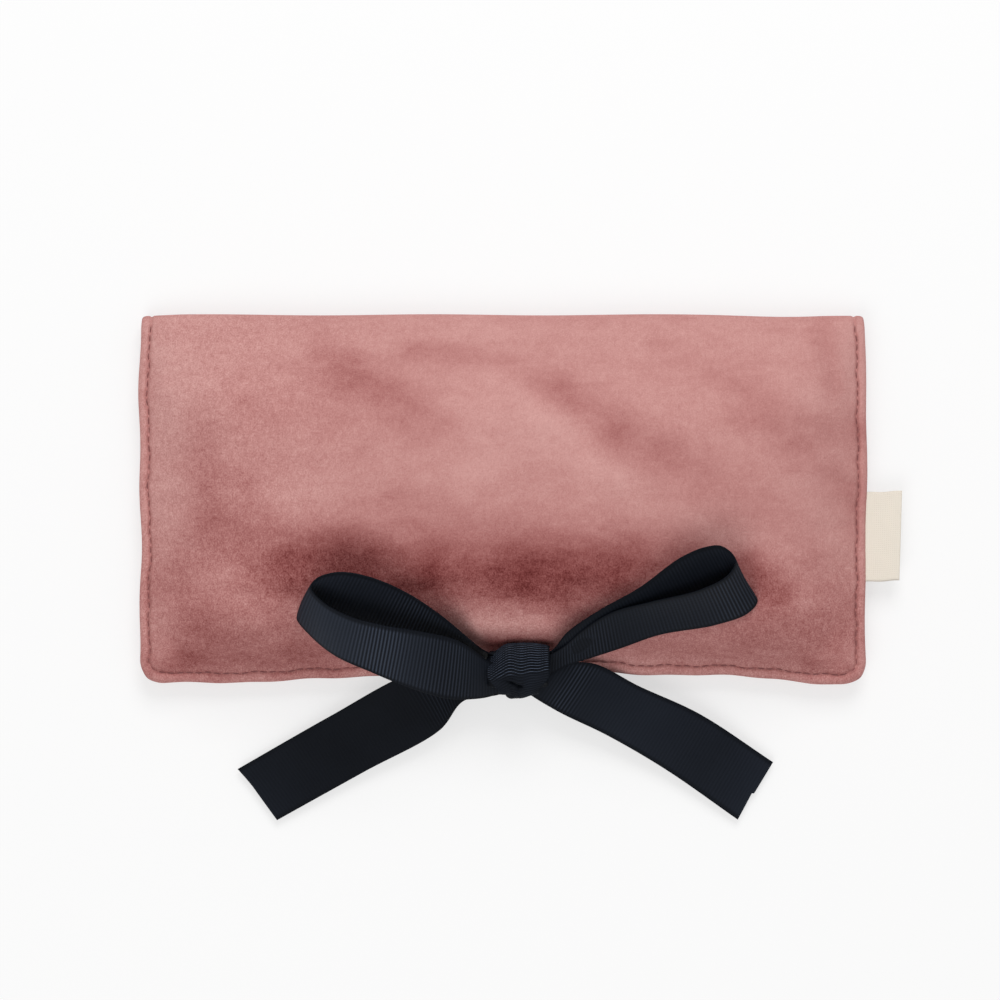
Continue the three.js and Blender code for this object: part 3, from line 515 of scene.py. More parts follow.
def new_object(name, vertices, faces, material, smooth_faces=True):
    mesh = bpy.data.meshes.new(name)
    mesh.from_pydata([tuple(v) for v in vertices], [], [tuple(f) for f in faces])
    mesh.validate()
    mesh.update()
    for polygon in mesh.polygons:
        polygon.use_smooth = smooth_faces
    piece = bpy.data.objects.new(name, mesh)
    bpy.context.scene.collection.objects.link(piece)
    if material is not None:
        mesh.materials.append(material)
    return piece


def grid_faces(rows, columns, start=0, flip=False, wrap=False):
    faces = []
    last = rows if wrap else rows - 1
    for j in range(last):
        below = start + j * columns
        above = start + ((j + 1) % rows) * columns
        for i in range(columns - 1):
            face = (below + i, below + i + 1, above + i + 1, above + i)
            faces.append(face[::-1] if flip else face)
    return faces


def grid_normals(points):
    along = np.gradient(points, axis=1)
    across = np.gradient(points, axis=0)
    normal = np.cross(along, across)
    length = np.linalg.norm(normal, axis=2, keepdims=True)
    return normal / np.maximum(length, 1e-12)


def add_flat_map(piece, values):
    """Stores each point's place on the flat cloth, in metres, as the UV map that the weaves follow"""
    layer = piece.data.uv_layers.new(name="cloth")
    loops = np.zeros(len(piece.data.loops), np.int32)
    piece.data.loops.foreach_get("vertex_index", loops)
    layer.data.foreach_set("uv", values[loops].astype(np.float32).ravel())


def add_share(piece, name, values):
    """Stores a value for every point; the values of one face of a slab serve its other face too"""
    attribute = piece.data.attributes.new(name, "FLOAT", "POINT")
    values = np.tile(values.ravel(), len(piece.data.vertices) // values.size)
    attribute.data.foreach_set("value", values.astype(np.float32))


def slab(name, outer, inner, material, flat=None, outward=1):
    """A closed sheet between two matching grids, with the map of its flat cloth on both faces"""
    rows, columns, _ = outer.shape
    half = rows * columns
    vertices = np.concatenate([outer.reshape(-1, 3), inner.reshape(-1, 3)])
    faces = grid_faces(rows, columns, 0, outward < 0) + grid_faces(rows, columns, half, outward > 0)
    rim = [j * columns for j in range(rows)]
    rim += [(rows - 1) * columns + i for i in range(1, columns)]
    rim += [j * columns + columns - 1 for j in range(rows - 2, -1, -1)]
    rim += [i for i in range(columns - 2, 0, -1)]
    for a, b in zip(rim, rim[1:] + rim[:1]):
        face = (a, b, half + b, half + a)
        faces.append(face if outward > 0 else face[::-1])
    piece = new_object(name, vertices, faces, material)
    if flat is not None:
        add_flat_map(piece, np.concatenate([flat.reshape(-1, 2), flat.reshape(-1, 2)]))
    return piece


def cloth_slab(name, points, thickness, material, flat=None, outward=1):
    """A closed sheet of cloth: the grid points are its outer face, the inner face lies one thickness in"""
    inner = points - outward * grid_normals(points) * thickness
    return slab(name, points, inner, material, flat, outward)


def measured_flat(points):
    """Flat cloth places from the lengths along the middle row and column of a grid"""
    rows, columns, _ = points.shape
    u, v = running_length(points[rows // 2]), running_length(points[:, columns // 2])
    return np.stack(np.meshgrid(u, v), axis=2)


def tube_faces(rings, sides):
    """Faces of a closed round bar whose rings of points follow each other"""
    faces = []
    for ring in range(rings - 1):
        for k in range(sides):
            a, b = ring * sides + k, ring * sides + (k + 1) % sides
            faces.append((a, b, b + sides, a + sides))
    last = (rings - 1) * sides
    return [*faces, tuple(reversed(range(sides))), tuple(range(last, last + sides))]


def threads(name, paths, radius, material, sides=6):
    """Stitches of five points each, as closed tubes that taper at both ends"""
    taper = np.array([0.35, 0.9, 1.0, 0.9, 0.35])
    angle = np.arange(sides) * 2 * np.pi / sides
    faces = tube_faces(len(taper), sides)
    shells = []
    for path in paths:
        direction = path[-1] - path[0]
        direction /= np.linalg.norm(direction)
        up = (0, 0, 1) if abs(direction[2]) < 0.9 else (0, 1, 0)
        side = np.cross(direction, up)
        side /= np.linalg.norm(side)
        ring = np.outer(np.cos(angle), side) + np.outer(np.sin(angle), np.cross(side, direction))
        points = path[:, None] + ring * (radius * taper)[:, None, None]
        shells.append((points.reshape(-1, 3), faces))
    return merged_shells(name, shells, material)


def sew(name, paths, radius, body, finish="pocket_thread", slot="lining", sides=6):
    """Stitches on a body, all as one piece"""
    fit(threads(name, paths, radius, finish_of(finish), sides), body, slot)


# Materials


class Finish:
    """A material in the making: its shader, and the nodes that lead to it"""

    def __init__(self, name, colour, roughness):
        self.material = bpy.data.materials.new(name)
        self.material.use_nodes = True
        self.nodes = self.material.node_tree.nodes
        self.links = self.material.node_tree.links
        self.shader = self.nodes["Principled BSDF"]
        self.set("Base Color", (*colour, 1))
        self.set("Roughness", roughness)

    def set(self, socket, value):
        self.shader.inputs[socket].default_value = value

    def link(self, output, socket):
        self.links.new(output, self.shader.inputs[socket])

    def node(self, kind, **values):
        """Adds a node; each value goes to the setting or the socket of that name"""
        node = self.nodes.new(kind)
        for key, value in values.items():
            if hasattr(node, key):
                setattr(node, key, value)
            else:
                node.inputs[key.replace("_", " ")].default_value = value
        return node

    def fed(self, output, socket, kind, **values):
        """Adds a node that one output leads into"""
        node = self.node(kind, **values)
        self.links.new(output, node.inputs[socket])
        return node

    def cloth_place(self):
        return self.node("ShaderNodeUVMap", uv_map="cloth").outputs["UV"]

    def object_place(self):
        return self.node("ShaderNodeTexCoord").outputs["Object"]

    def share(self, name):
        return self.node("ShaderNodeAttribute", attribute_name=name).outputs["Fac"]

    def noise(self, place, scale, detail, roughness, distortion=0.0):
        values = {"Scale": scale, "Detail": detail, "Roughness": roughness, "Distortion": distortion}
        return self.fed(place, "Vector", "ShaderNodeTexNoise", **values).outputs["Fac"]

    def wave(self, place, direction, scale, distortion, **values):
        values = {"bands_direction": direction, "Scale": scale, "Distortion": distortion, **values}
        return self.fed(place, "Vector", "ShaderNodeTexWave", **values).outputs["Fac"]

    def stretched(self, place, scale, turn=0.0):
        return self.fed(place, "Vector", "ShaderNodeMapping", Scale=scale, Rotation=(0, 0, turn)).outputs["Vector"]

    def calculate(self, operation, a, b):
        node = self.node("ShaderNodeMath", operation=operation)
        for socket, value in zip(node.inputs, (a, b)):
            if isinstance(value, (int, float)):
                socket.default_value = value
            else:
                self.links.new(value, socket)
        return node.outputs[0]

    def add(self, a, b):
        return self.calculate("ADD", a, b)

    def times(self, a, b):
        return self.calculate("MULTIPLY", a, b)

    def blend(self, factor, first, second):
        """Leads a mix of two plain colours to the base colour"""
        node = self.fed(factor, "Factor", "ShaderNodeMix", data_type="RGBA")
        for socket, colour in zip([s for s in node.inputs if s.type == "RGBA"], (first, second)):
            socket.default_value = (*colour, 1)
        self.link([s for s in node.outputs if s.type == "RGBA"][0], "Base Color")
        return node

    def vary_roughness(self, value, low, high):
        node = self.fed(value, "Value", "ShaderNodeMapRange", To_Min=low, To_Max=high)
        self.link(node.outputs["Result"], "Roughness")

    def bump(self, height, distance, strength):
        node = self.fed(height, "Height", "ShaderNodeBump", Distance=distance, Strength=strength)
        self.link(node.outputs["Normal"], "Normal")


def toned(colour, factor):
    """A lighter or darker colour"""
    return tuple(min(1.0, value * factor) for value in colour)


def velvet_material():
    """Pile colours from raised to crushed, mottled at four sizes; the nap share brings painted shade and highlights
    into them
    """
    settings = velvet_settings()
    finish = Finish("velvet", settings.light, 0.86)
    place = finish.cloth_place()
    # The nap share holds crush marks together with painted shade and painted highlights
    nap = finish.share("nap")
    clouds = finish.noise(finish.stretched(place, (1, 1.9, 1), 0.5), 42, 3.0, 0.6, 0.8)
    blotches = finish.noise(finish.stretched(place, (0.75, 1.2, 1)), 150, 4.0, 0.62, 0.5)
    tufts = finish.noise(finish.stretched(place, (1.25, 0.85, 1)), 560, 4.0, 0.8, 0.4)
    pile = finish.noise(finish.stretched(place, (1.15, 0.9, 1)), 1900, 2.0, 0.6)
    grain = finish.share("grain")
    change = nap
    for pattern, share in ((clouds, 0.26), (blotches, 0.23), (tufts, 0.95), (pile, 1.0)):
        change_here = finish.times(finish.calculate("SUBTRACT", pattern, 0.5), share)
        if pattern in (tufts, pile):
            change_here = finish.times(change_here, grain)
        change = finish.add(change, change_here)
    blotched_nap_and_shade = finish.times(nap, finish.calculate("SUBTRACT", blotches, 0.5))
    # The pressed value holds the pile's crushing and the painted shade alike
    pressed = finish.add(change, finish.times(blotched_nap_and_shade, 0.45))
    lowest, highest = -0.35, 1.2
    limited = finish.fed(pressed, "Value", "ShaderNodeClamp", Min=lowest, Max=highest)
    ramp = finish.fed(
        limited.outputs["Result"], "Value", "ShaderNodeMapRange", From_Min=lowest, From_Max=highest,
    )
    tones = finish.fed(ramp.outputs["Result"], "Fac", "ShaderNodeValToRGB")
    stops = 7
    for _ in range(stops - 2):
        tones.color_ramp.elements.new(0.5)
    light, dark = settings.light, settings.dark
    powers = [math.log(b / a) / math.log(dark[0] / light[0]) for a, b in zip(light, dark)]
    for k, stop in enumerate(tones.color_ramp.elements):
        stop.position = k / (stops - 1)
        red = light[0] + (dark[0] - light[0]) * (lowest + (highest - lowest) * stop.position)
        stop.color = (*[a * (red / light[0]) ** power for a, power in zip(light, powers)], 1)
    finish.link(tones.outputs["Color"], "Base Color")
    finish.set("Specular IOR Level", 0.05)
    finish.set("Sheen Weight", 0.08)
    finish.set("Sheen Roughness", 0.3)
    finish.set("Sheen Tint", (1.0, 0.5, 0.47, 1))
    finish.bump(finish.add(finish.times(tufts, 0.7), pile), 0.28 * MM, 0.75)
    return finish.material


def woven_material(name, colour, threads_per_metre, depth, roughness, sheen, slub):
    """Plain woven cloth: crossing threads from the flat map, with slubs and slow changes of tone"""
    finish = Finish(name, colour, roughness)
    place = finish.cloth_place()
    scale = threads_per_metre * math.pi / 10
    warp = finish.wave(place, "X", scale, 0.6, Detail=1.0, Detail_Scale=1.4)
    weft = finish.wave(place, "Y", scale, 0.6, Detail=1.0, Detail_Scale=1.4)
    weave = finish.times(warp, weft)
    slubs = finish.noise(finish.stretched(place, (1, 14, 1)), 260, 2.0, 0.6)
    tone = finish.noise(place, 45, 3.0, 0.6)
    shade = finish.add(finish.times(slubs, slub * 3), finish.times(tone, 0.5))
    shade = finish.add(shade, finish.times(weave, 0.35))
    finish.blend(shade, toned(colour, 1 - 2.2 * slub), toned(colour, 1 + 0.7 * slub))
    finish.set("Specular IOR Level", 0.25)
    finish.set("Sheen Weight", sheen)
    finish.bump(finish.add(weave, finish.times(slubs, 0.6)), depth, 0.7)
    return finish.material


def ribbon_material():
    """Grosgrain: painted shade between the ribs and painted highlights on their crests"""
    base = ribbon_settings().colour
    finish = Finish("grosgrain", base, 0.52)
    place = finish.cloth_place()
    yarn = finish.wave(place, "X", 190, 0.5)
    streaks = finish.noise(finish.stretched(place, (1, 9, 1)), 420, 2.0, 0.6)
    # Painted sheen: a slow random mottle in the ribbon's tone
    sheen_mottle = finish.noise(place, 60, 3.0, 0.6)
    shade = finish.add(finish.times(streaks, 0.05), finish.times(sheen_mottle, 0.05))
    # Painted highlight: the crest share lifts the colour far past the ribbon's own towards a lighter one
    painted_highlight = finish.times(finish.calculate("POWER", finish.share("crest_and_highlight"), 2.0), 0.62)
    lighter = tuple(value * 4.2 + 0.018 for value in base)
    finish.blend(finish.add(shade, painted_highlight), toned(base, 0.15), lighter).clamp_factor = False
    finish.vary_roughness(streaks, 0.44, 0.66)
    finish.set("Specular IOR Level", 0.06)
    finish.bump(finish.add(finish.times(yarn, 0.4), streaks), 0.05 * MM, 0.6)
    return finish.material


def thread_material(name, colour):
    finish = Finish(name, colour, 0.6)
    strands = finish.noise(finish.object_place(), 2600, 2.0, 0.6)
    finish.blend(strands, colour, toned(colour, 1.5))
    finish.set("Sheen Weight", 0.2)
    finish.bump(strands, 0.06 * MM, 0.8)
    return finish.material


def metal_material():
    colour = inside_settings().metal
    finish = Finish("gold_metal", colour, 0.26)
    place = finish.object_place()
    wear = finish.noise(place, 420, 4.0, 0.65)
    scratches = finish.noise(finish.stretched(place, (1, 12, 3), 0.4), 900, 2.0, 0.6)
    finish.blend(wear, toned(colour, 0.82), colour)
    finish.vary_roughness(wear, 0.17, 0.42)
    finish.set("Metallic", 1.0)
    finish.bump(scratches, 0.02 * MM, 0.5)
    return finish.material


def nylon_material():
    colour = inside_settings().coil
    finish = Finish("zip_nylon", colour, 0.4)
    tone = finish.noise(finish.object_place(), 700, 2.0, 0.5)
    finish.blend(tone, colour, toned(colour, 1.3))
    finish.bump(tone, 0.03 * MM, 0.4)
    return finish.material


def fibre_material(name, colour):
    finish = Finish(name, colour, 0.95)
    place = finish.object_place()
    lumps = finish.noise(place, 130, 4.0, 0.6)
    fibres = finish.noise(finish.stretched(place, (1, 5, 2), 0.7), 1500, 3.0, 0.7, 0.8)
    finish.blend(lumps, toned(colour, 0.86), colour)
    finish.set("Sheen Weight", 0.3)
    finish.bump(finish.add(lumps, fibres), 0.25 * MM, 0.8)
    return finish.material


MATERIALS = {}


def finish_of(name):
    """The named finish, made on first use"""
    inside = inside_settings()
    makers = {
        "velvet": velvet_material,
        "thread": lambda: thread_material("topstitch_thread", velvet_settings().thread),
        "ribbon": ribbon_material,
        "lining": lambda: woven_material("lining_cloth", inside.lining, 1900, 0.05 * MM, 0.6, 0.2, 0.05),
        "pocket": lambda: woven_material("pocket_cloth", inside.lining, 1900, 0.05 * MM, 0.6, 0.2, 0.06),
        "pocket_thread": lambda: thread_material("pocket_thread", inside.lining),
        "tape": lambda: woven_material("zip_tape_weave", inside.tape, 1500, 0.12 * MM, 0.8, 0.3, 0.12),
        "elastic": lambda: woven_material("elastic_casing", inside.lining, 1900, 0.1 * MM, 0.75, 0.2, 0.09),
        "coil": nylon_material,
        "metal": metal_material,
        "label": lambda: woven_material(
            "label_weave", bpy.context.scene.roll_label.colour, 1500, 0.1 * MM, 0.85, 0.15, 0.06
        ),
        "wadding": lambda: fibre_material("wadding_fibre", (0.86, 0.84, 0.8)),
        "foam": lambda: fibre_material("foam_rod", (0.88, 0.86, 0.8)),
    }
    if name not in MATERIALS:
        MATERIALS[name] = makers[name]()
    return MATERIALS[name]


# The cover's grid: columns run across the roll, rows follow the cloth round it


def hem_profile():
    """Arc place, distance from the outline and height over the hem's middle, from the tuck inwards"""
    settings = velvet_settings()
    roll = settings.hem_roll
    angles = np.radians(np.linspace(-104, 90, 15))
    level_part = np.array([2.2, 2.55, 2.8, 3.0, 3.2, 3.4, 3.65, 4.0, 4.5, 5.0, 5.5, 6.2, 7.1, 8.0]) * MM
    groove = settings.groove * bell(level_part - HEM_WIDTH, STITCH_GROOVE_REACH)
    distance = np.concatenate([roll - roll * np.cos(angles), level_part])
    height = np.concatenate([roll * np.sin(angles), roll + 0.05 * MM - groove])
    return running_length(np.column_stack([distance, height])), distance, height


class CoverGrid:
    """Plan places of one cover, with rounded hem corners, from a profile across its edge"""

    def __init__(self, profile, inset, inner_columns, panel_rows):
        self.arc, self.distance, self.height = profile
        self.inset = inset
        limit = HALF_WIDTH - inset - self.distance[-1]
        lines = np.linspace(-limit, limit, inner_columns + 2)[1:-1]
        edge = np.ones(len(self.arc))
        left = -(HALF_WIDTH - inset - self.distance)
        self.side_arc = np.concatenate([self.arc, np.full(len(lines), np.inf), self.arc[::-1]])
        self.sign = np.concatenate([-edge, np.sign(lines), edge])
        self.line = np.concatenate([left, lines, -left[::-1]])
        self.row_share = np.linspace(0, 1, panel_rows + 2)[1:]

    def panel_row(self, share):
        """x, y and edge arc for a row at a share of the way from the hem's profile to the fold"""
        first = hem_line(self.line) + self.inset + self.distance[-1]
        return self.line, first + (FOLD_EDGE_Y - first) * share, self.side_arc

    def hem_row(self, hem_arc):
        """x, y and edge arc for a row inside the hem's profile, led round both corners"""
        x = self.line.copy()
        y = hem_line(x) + self.inset + np.interp(hem_arc, self.arc, self.distance)
        arc_end = self.arc[-1]
        corner = self.side_arc < arc_end
        sign = self.sign[corner]
        a = (arc_end - self.side_arc[corner]) / arc_end
        b = np.full(a.shape, (arc_end - hem_arc) / arc_end)
        reach = CORNER_RADIUS - np.interp(arc_end * (1 - np.maximum(a, b)), self.arc, self.distance)
        reach /= np.maximum(np.hypot(a, b), 1e-9)
        centre_x = HALF_WIDTH - self.inset - CORNER_RADIUS
        x[corner] = sign * (centre_x + reach * a)
        y[corner] = hem_line(centre_x * sign) + self.inset + CORNER_RADIUS - reach * b
        return x, y, np.minimum(self.side_arc, hem_arc)

    def rows(self):
        """Every row of the cover from its hem's tuck to the fold's edge"""
        placed = [self.hem_row(arc) for arc in self.arc] + [self.panel_row(share) for share in self.row_share]
        return [np.stack([row[k] for row in placed]) for k in range(3)]

    def rise(self, arc):
        """Height of the edge profile over a flat hem, nothing past the profile's end"""
        inner = np.isinf(arc)
        return np.where(inner, 0, np.interp(np.where(inner, 0, arc), self.arc, self.height) - self.height[-1])


def fold_columns(back, flap, count):
    """Angles of the rows round the fold, and where their columns lie between those of both covers"""
    turn = np.radians(np.linspace(-90, 90, count + 2)[1:-1])[:, None]
    return turn, back.line + (flap.line - back.line) * (turn / np.pi + 0.5)


def settle(points):
    """Small wander of the hem's outline, shared by every cloth layer"""
    x, y = points[..., 0], points[..., 1]
    side = bell(HALF_WIDTH - np.abs(x), 9 * MM)
    hem = bell(y + HALF_DEPTH, 9 * MM)
    fold = bell(y - HALF_DEPTH, 8 * MM)
    left = np.where(x < 0, 1, 0)
    shift_x = side * (
        0.3 * MM * np.sin(71 * y + 0.6 + 2.1 * left) + (0.16 + 0.14 * left) * MM * np.sin(190 * y + 4.4 * left)
    )
    lobe = 0.9 * MM * smooth((x - 84 * MM) / (16 * MM)) - 1.3 * MM * bell(x - 76 * MM, 15 * MM)
    shift_y = -hem * (lobe + 0.22 * MM * np.sin(150 * x + 1.2) + 0.16 * MM * np.sin(330 * x))
    shift_y -= fold * (
        0.5 * MM * bell(x - 92 * MM, 12 * MM) + 0.18 * MM * np.sin(88 * x + 0.4)
        + 0.35 * MM * smooth((np.abs(x) - 100 * MM) / (15 * MM))
    )
    side_groove = bell(HALF_WIDTH - np.abs(x) - HEM_WIDTH, 1.3 * MM)
    shift_x += side_groove * (0.2 * MM * np.sin(430 * y + 3 * left) + 0.14 * MM * np.sin(910 * y + left))
    shift_x += side_groove * 0.25 * MM * np.sign(x)
    hem_groove = bell(y - hem_line(x) - HEM_WIDTH, 1.3 * MM)
    shift_y += hem_groove * (0.2 * MM * np.sin(390 * x) + 0.14 * MM * np.sin(870 * x + 1))
    moved = points.copy()
    moved[..., 0] += shift_x
    moved[..., 1] += shift_y
    return moved


def pucker(x, y):
    """Short waves that the topstitch draws in the cloth beside it"""
    side, hem = edge_distance(x, y)
    near = bell(np.minimum(side, hem) - 5.2 * MM, 2.4 * MM)
    along = np.where(side < hem, y, x)
    wave = np.sin(760 * along + 1.7 * np.sin(210 * along)) * (0.6 + 0.4 * np.sin(95 * along + 1))
    return 0.16 * MM * near * wave


def flap_top(x, y):
    thickness = HEM_THICKNESS + (COVER_THICKNESS - HEM_THICKNESS) * swell(x, y)
    return flap_under(x, y) + thickness


def flap_softness(x, y):
    """Rise over the plain crown, and the nap change with it, painted shade and highlights included"""
    side, hem = edge_distance(x, y)
    inside = arch(np.minimum(side, hem) - HEM_WIDTH - 1.2 * MM, 9 * MM)
    rise, nap = relief(x, y)
    rise = inside * (rise + softness(x, y)) + pucker(x, y) + settled_rise(x, y)
    return rise + fold_fullness(x, y), nap


def hem_filling(x, y):
    """The stitch line is shallower along the hem than along the sides"""
    side, hem = edge_distance(x, y)
    depth = 0.45 * velvet_settings().groove * bell(hem - HEM_WIDTH, STITCH_GROOVE_REACH)
    return depth * smooth((side - 7 * MM) / (9 * MM))


def pile_lean_and_painted_shade(x, y, z):
    """Painted shade and light by slope, put in the nap: darker where the velvet slopes to the hem or fold, lighter at
    the sides, and darker towards the hem
    """
    slope = np.gradient(z, axis=0) / np.gradient(y, axis=0)
    tilt = np.abs(np.gradient(z, axis=1) / np.maximum(np.gradient(x, axis=1), 1e-5))
    side, hem = edge_distance(x, y)
    inside = arch(np.minimum(side, hem) - HEM_WIDTH - MM, 6 * MM)
    share = (HALF_DEPTH - y) / (2 * HALF_DEPTH)
    # Painted shade on slopes to the hem, and a little on slopes to the fold
    lean = 0.26 * np.clip(slope, 0, 0.8) - 0.06 * np.clip(slope, -0.8, 0)
    # Painted light on the slopes to the sides
    lean -= 0.14 * np.clip(tilt, 0, 0.8) * (1 - 0.7 * share)
    # Painted shade that darkens the velvet towards the hem
    return lean * inside + 0.05 + 0.115 * share


def roll_over(points, first, last):
    """Leads the rows between two others along one smooth curve, so that the fold has no crease"""
    start, end = points[first], points[last]
    chord = 1.1 * np.linalg.norm(end - start, axis=1, keepdims=True)
    leave, arrive = start - points[first - 1], points[last + 1] - end
    leave = leave * chord / np.linalg.norm(leave, axis=1, keepdims=True)
    arrive = arrive * chord / np.linalg.norm(arrive, axis=1, keepdims=True)
    s = np.linspace(0, 1, last - first + 1)[1:-1, None, None]
    curve = (
        (2 * s**3 - 3 * s**2 + 1) * start + (s**3 - 2 * s**2 + s) * leave
        + (3 * s**2 - 2 * s**3) * end + (s**3 - s**2) * arrive
    )
    share = arch(HALF_WIDTH - np.abs(start[:, :1]) - HEM_WIDTH - 0.5 * MM, 8 * MM)
    points[first + 1:last] += (curve - points[first + 1:last]) * share


def cover_points():
    """The velvet's outer face from the back cover's hem, round the fold, to the flap's hem"""
    profile = hem_profile()
    back = CoverGrid(profile, BACK_HEM_INSET, 132, 34)
    flap = CoverGrid(profile, 0.0, 132, 68)
    back_x, back_y, back_arc = back.rows()
    back_z = -back.rise(back_arc)
    flap_x, flap_y, flap_arc = flap.rows()
    rise, nap = flap_softness(flap_x, flap_y)
    surface = flap_top(flap_x, flap_y) + rise
    flap_z = surface + flap.rise(flap_arc) + hem_filling(flap_x, flap_y)
    # The slope's painted shade and light join the nap of the marks
    nap = nap + pile_lean_and_painted_shade(flap_x, flap_y, surface)
    turn, mixed = fold_columns(back, flap, 20)
    lift = fold_fullness(mixed, FOLD_Y + FOLD_RADIUS * np.cos(turn)) * np.maximum(np.sin(turn), 0)
    reach = FOLD_RADIUS + flap.rise(flap.side_arc) * (1 - 0.6 * np.cos(turn))
    fold = grid(mixed, FOLD_Y + reach * np.cos(turn), FOLD_Z + reach * np.sin(turn) + lift)
    back_rows = grid(back_x, back_y, back_z)
    flap_rows = grid(flap_x, flap_y, flap_z)[::-1]
    points = np.concatenate([back_rows, fold, flap_rows])
    roll_over(points, len(back_rows) + 11, len(back_rows) + len(fold) + 6)
    fold_nap = FOLD_NAP + (nap[-1] - FOLD_NAP) * smooth((np.degrees(turn) + 20) / 90)
    naps_and_painted_shade = np.concatenate([FOLD_NAP + 0 * back_x, fold_nap, nap[::-1]])
    counts = (len(back_rows), len(fold), len(flap_rows))
    return points, naps_and_painted_shade, counts


def build_velvet():
    settings = velvet_settings()
    SETTLED["rise"] = settle_velvet()
    points, naps_and_painted_shade, counts = cover_points()
    points = settle(points)
    flat = measured_flat(points)
    inner = points + grid_normals(points) * settings.thickness
    inner[:counts[0], :, 2] = np.minimum(inner[:counts[0], :, 2], HEM_THICKNESS - HEM_GAP)
    inner[-counts[2]:, :, 2] = np.maximum(inner[-counts[2]:, :, 2], FLAP_HEM_Z + HEM_GAP)
    piece = slab("velvet_cover", points, inner, finish_of("velvet"), flat, outward=-1)
    # The nap share holds the crush marks with painted shade and painted highlights
    add_share(piece, "nap", naps_and_painted_shade)
    left, hem = -points[..., 0] / HALF_WIDTH, -points[..., 1] / HALF_DEPTH
    grain = 0.45 + 0.42 * smooth((left - 0.2) / 0.6) + 0.5 * smooth((hem - 0.1) / 0.5)
    add_share(piece, "grain", np.minimum(grain, 1.0))
    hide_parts("back_shell", "fold_shell", "flap_shell")
    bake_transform(piece)


def build_lining():
    """The lining of both covers and the strip that joins them at the fold"""
    distance = np.array([1.25, 1.5, 1.9, 2.4, 2.9, 3.2, 3.5, 4.2, 5.5, 8]) * MM
    dip = 0.3 * MM * bell(distance - HEM_WIDTH, 0.4 * MM) + np.array([0.35, 0.12] + [0] * 8) * MM
    profile = (distance - distance[0], distance, -dip)
    back = CoverGrid(profile, BACK_HEM_INSET, 90, 34)
    flap = CoverGrid(profile, 0.0, 90, 48)
    back_x, back_y, back_arc = back.rows()
    back_z = lining_top(back_x, back_y) + back.rise(back_arc)
    flap_x, flap_y, flap_arc = flap.rows()
    flap_z = flap_inner(flap_x, flap_y) - flap.rise(flap_arc)
    reach = FLAP_HEM_Z - FOLD_Z
    turn, mixed = fold_columns(back, flap, 10)
    fold = grid(mixed, FOLD_Y + reach * np.cos(turn) + 0 * mixed, FOLD_Z + reach * np.sin(turn) + 0 * mixed)
    back_rows = grid(back_x, back_y, back_z)
    flap_rows = grid(flap_x, flap_y, flap_z)[::-1]
    points = settle(np.concatenate([back_rows, fold, flap_rows]))
    flat = measured_flat(points)
    inner = points - grid_normals(points) * 0.35 * MM
    first, last = len(back_rows), len(back_rows) + len(fold)
    parts = (
        ("back", slice(0, first)), ("fold", slice(first - 1, last + 1)), ("flap", slice(last, len(points))),
    )
    for part, rows in parts:
        piece = slab(f"{part}_lining_cloth", points[rows], inner[rows], finish_of("lining"), flat[rows])
        if part == "fold":
            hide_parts("fold_lining")
            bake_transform(piece)
        else:
            fit(piece, part, "lining", f"{part}_lining")


def hem_track(inset, distance):
    """Points along the three sewn edges, from the fold at the left round to the fold at the right"""
    centre_x = HALF_WIDTH - inset - CORNER_RADIUS

    def half(sign):
        centre_y = float(hem_line(centre_x * sign)) + inset + CORNER_RADIUS
        down = [(HALF_WIDTH - inset - distance, y) for y in np.linspace(FOLD_EDGE_Y + 1.5 * MM, centre_y, 90)]
        turn = arc_points(centre_x, centre_y, CORNER_RADIUS - distance, 9, 0, -math.pi / 2)[1:]
        return [(sign * x, y) for x, y in down + turn]

    middle = [
        (x, float(hem_line(x)) + inset + distance) for x in np.linspace(-centre_x, centre_x, 180)[1:-1]
    ]
    return np.array(half(-1) + middle + half(1)[::-1])


def stitch_runs(track, pitch, gap_share=0.2):
    """Short runs of five points, one for each stitch of a line"""
    arc = running_length(track)
    count = int(arc[-1] / pitch)
    size = arc[-1] / count
    runs = []
    for k in range(count):
        places = np.linspace(k + gap_share / 2, k + 1 - gap_share / 2, 5) * size
        runs.append(np.stack([np.interp(places, arc, track[:, axis]) for axis in range(track.shape[1])], axis=1))
    return runs


def build_topstitch():
    settings = velvet_settings()
    deep = settings.groove - 0.05 * MM - 0.75 * settings.thread_radius
    sides = {
        "back": (BACK_HEM_INSET, deep, HEM_THICKNESS - 0.26 * MM),
        "flap": (0.0, FLAP_HEM_Z + HEM_THICKNESS - deep, FLAP_HEM_Z + 0.26 * MM),
    }
    dip = np.array([0.22, 0.03, 0, 0.03, 0.22]) * MM
    for body, (inset, outer_z, inner_z) in sides.items():
        outward = 1 if body == "flap" else -1
        track = hem_track(inset, HEM_WIDTH)
        paths = []
        for run in stitch_runs(track, settings.stitch):
            for height, direction in ((outer_z, -outward), (inner_z, outward)):
                z = height + direction * dip
                if body == "flap" and height == outer_z:
                    z = z + hem_filling(run[:, 0], run[:, 1])
                paths.append(settle(np.column_stack([run, z])))
        sew(f"{body}_topstitch", paths, settings.thread_radius, body, "thread", "velvet")


# Ribbon


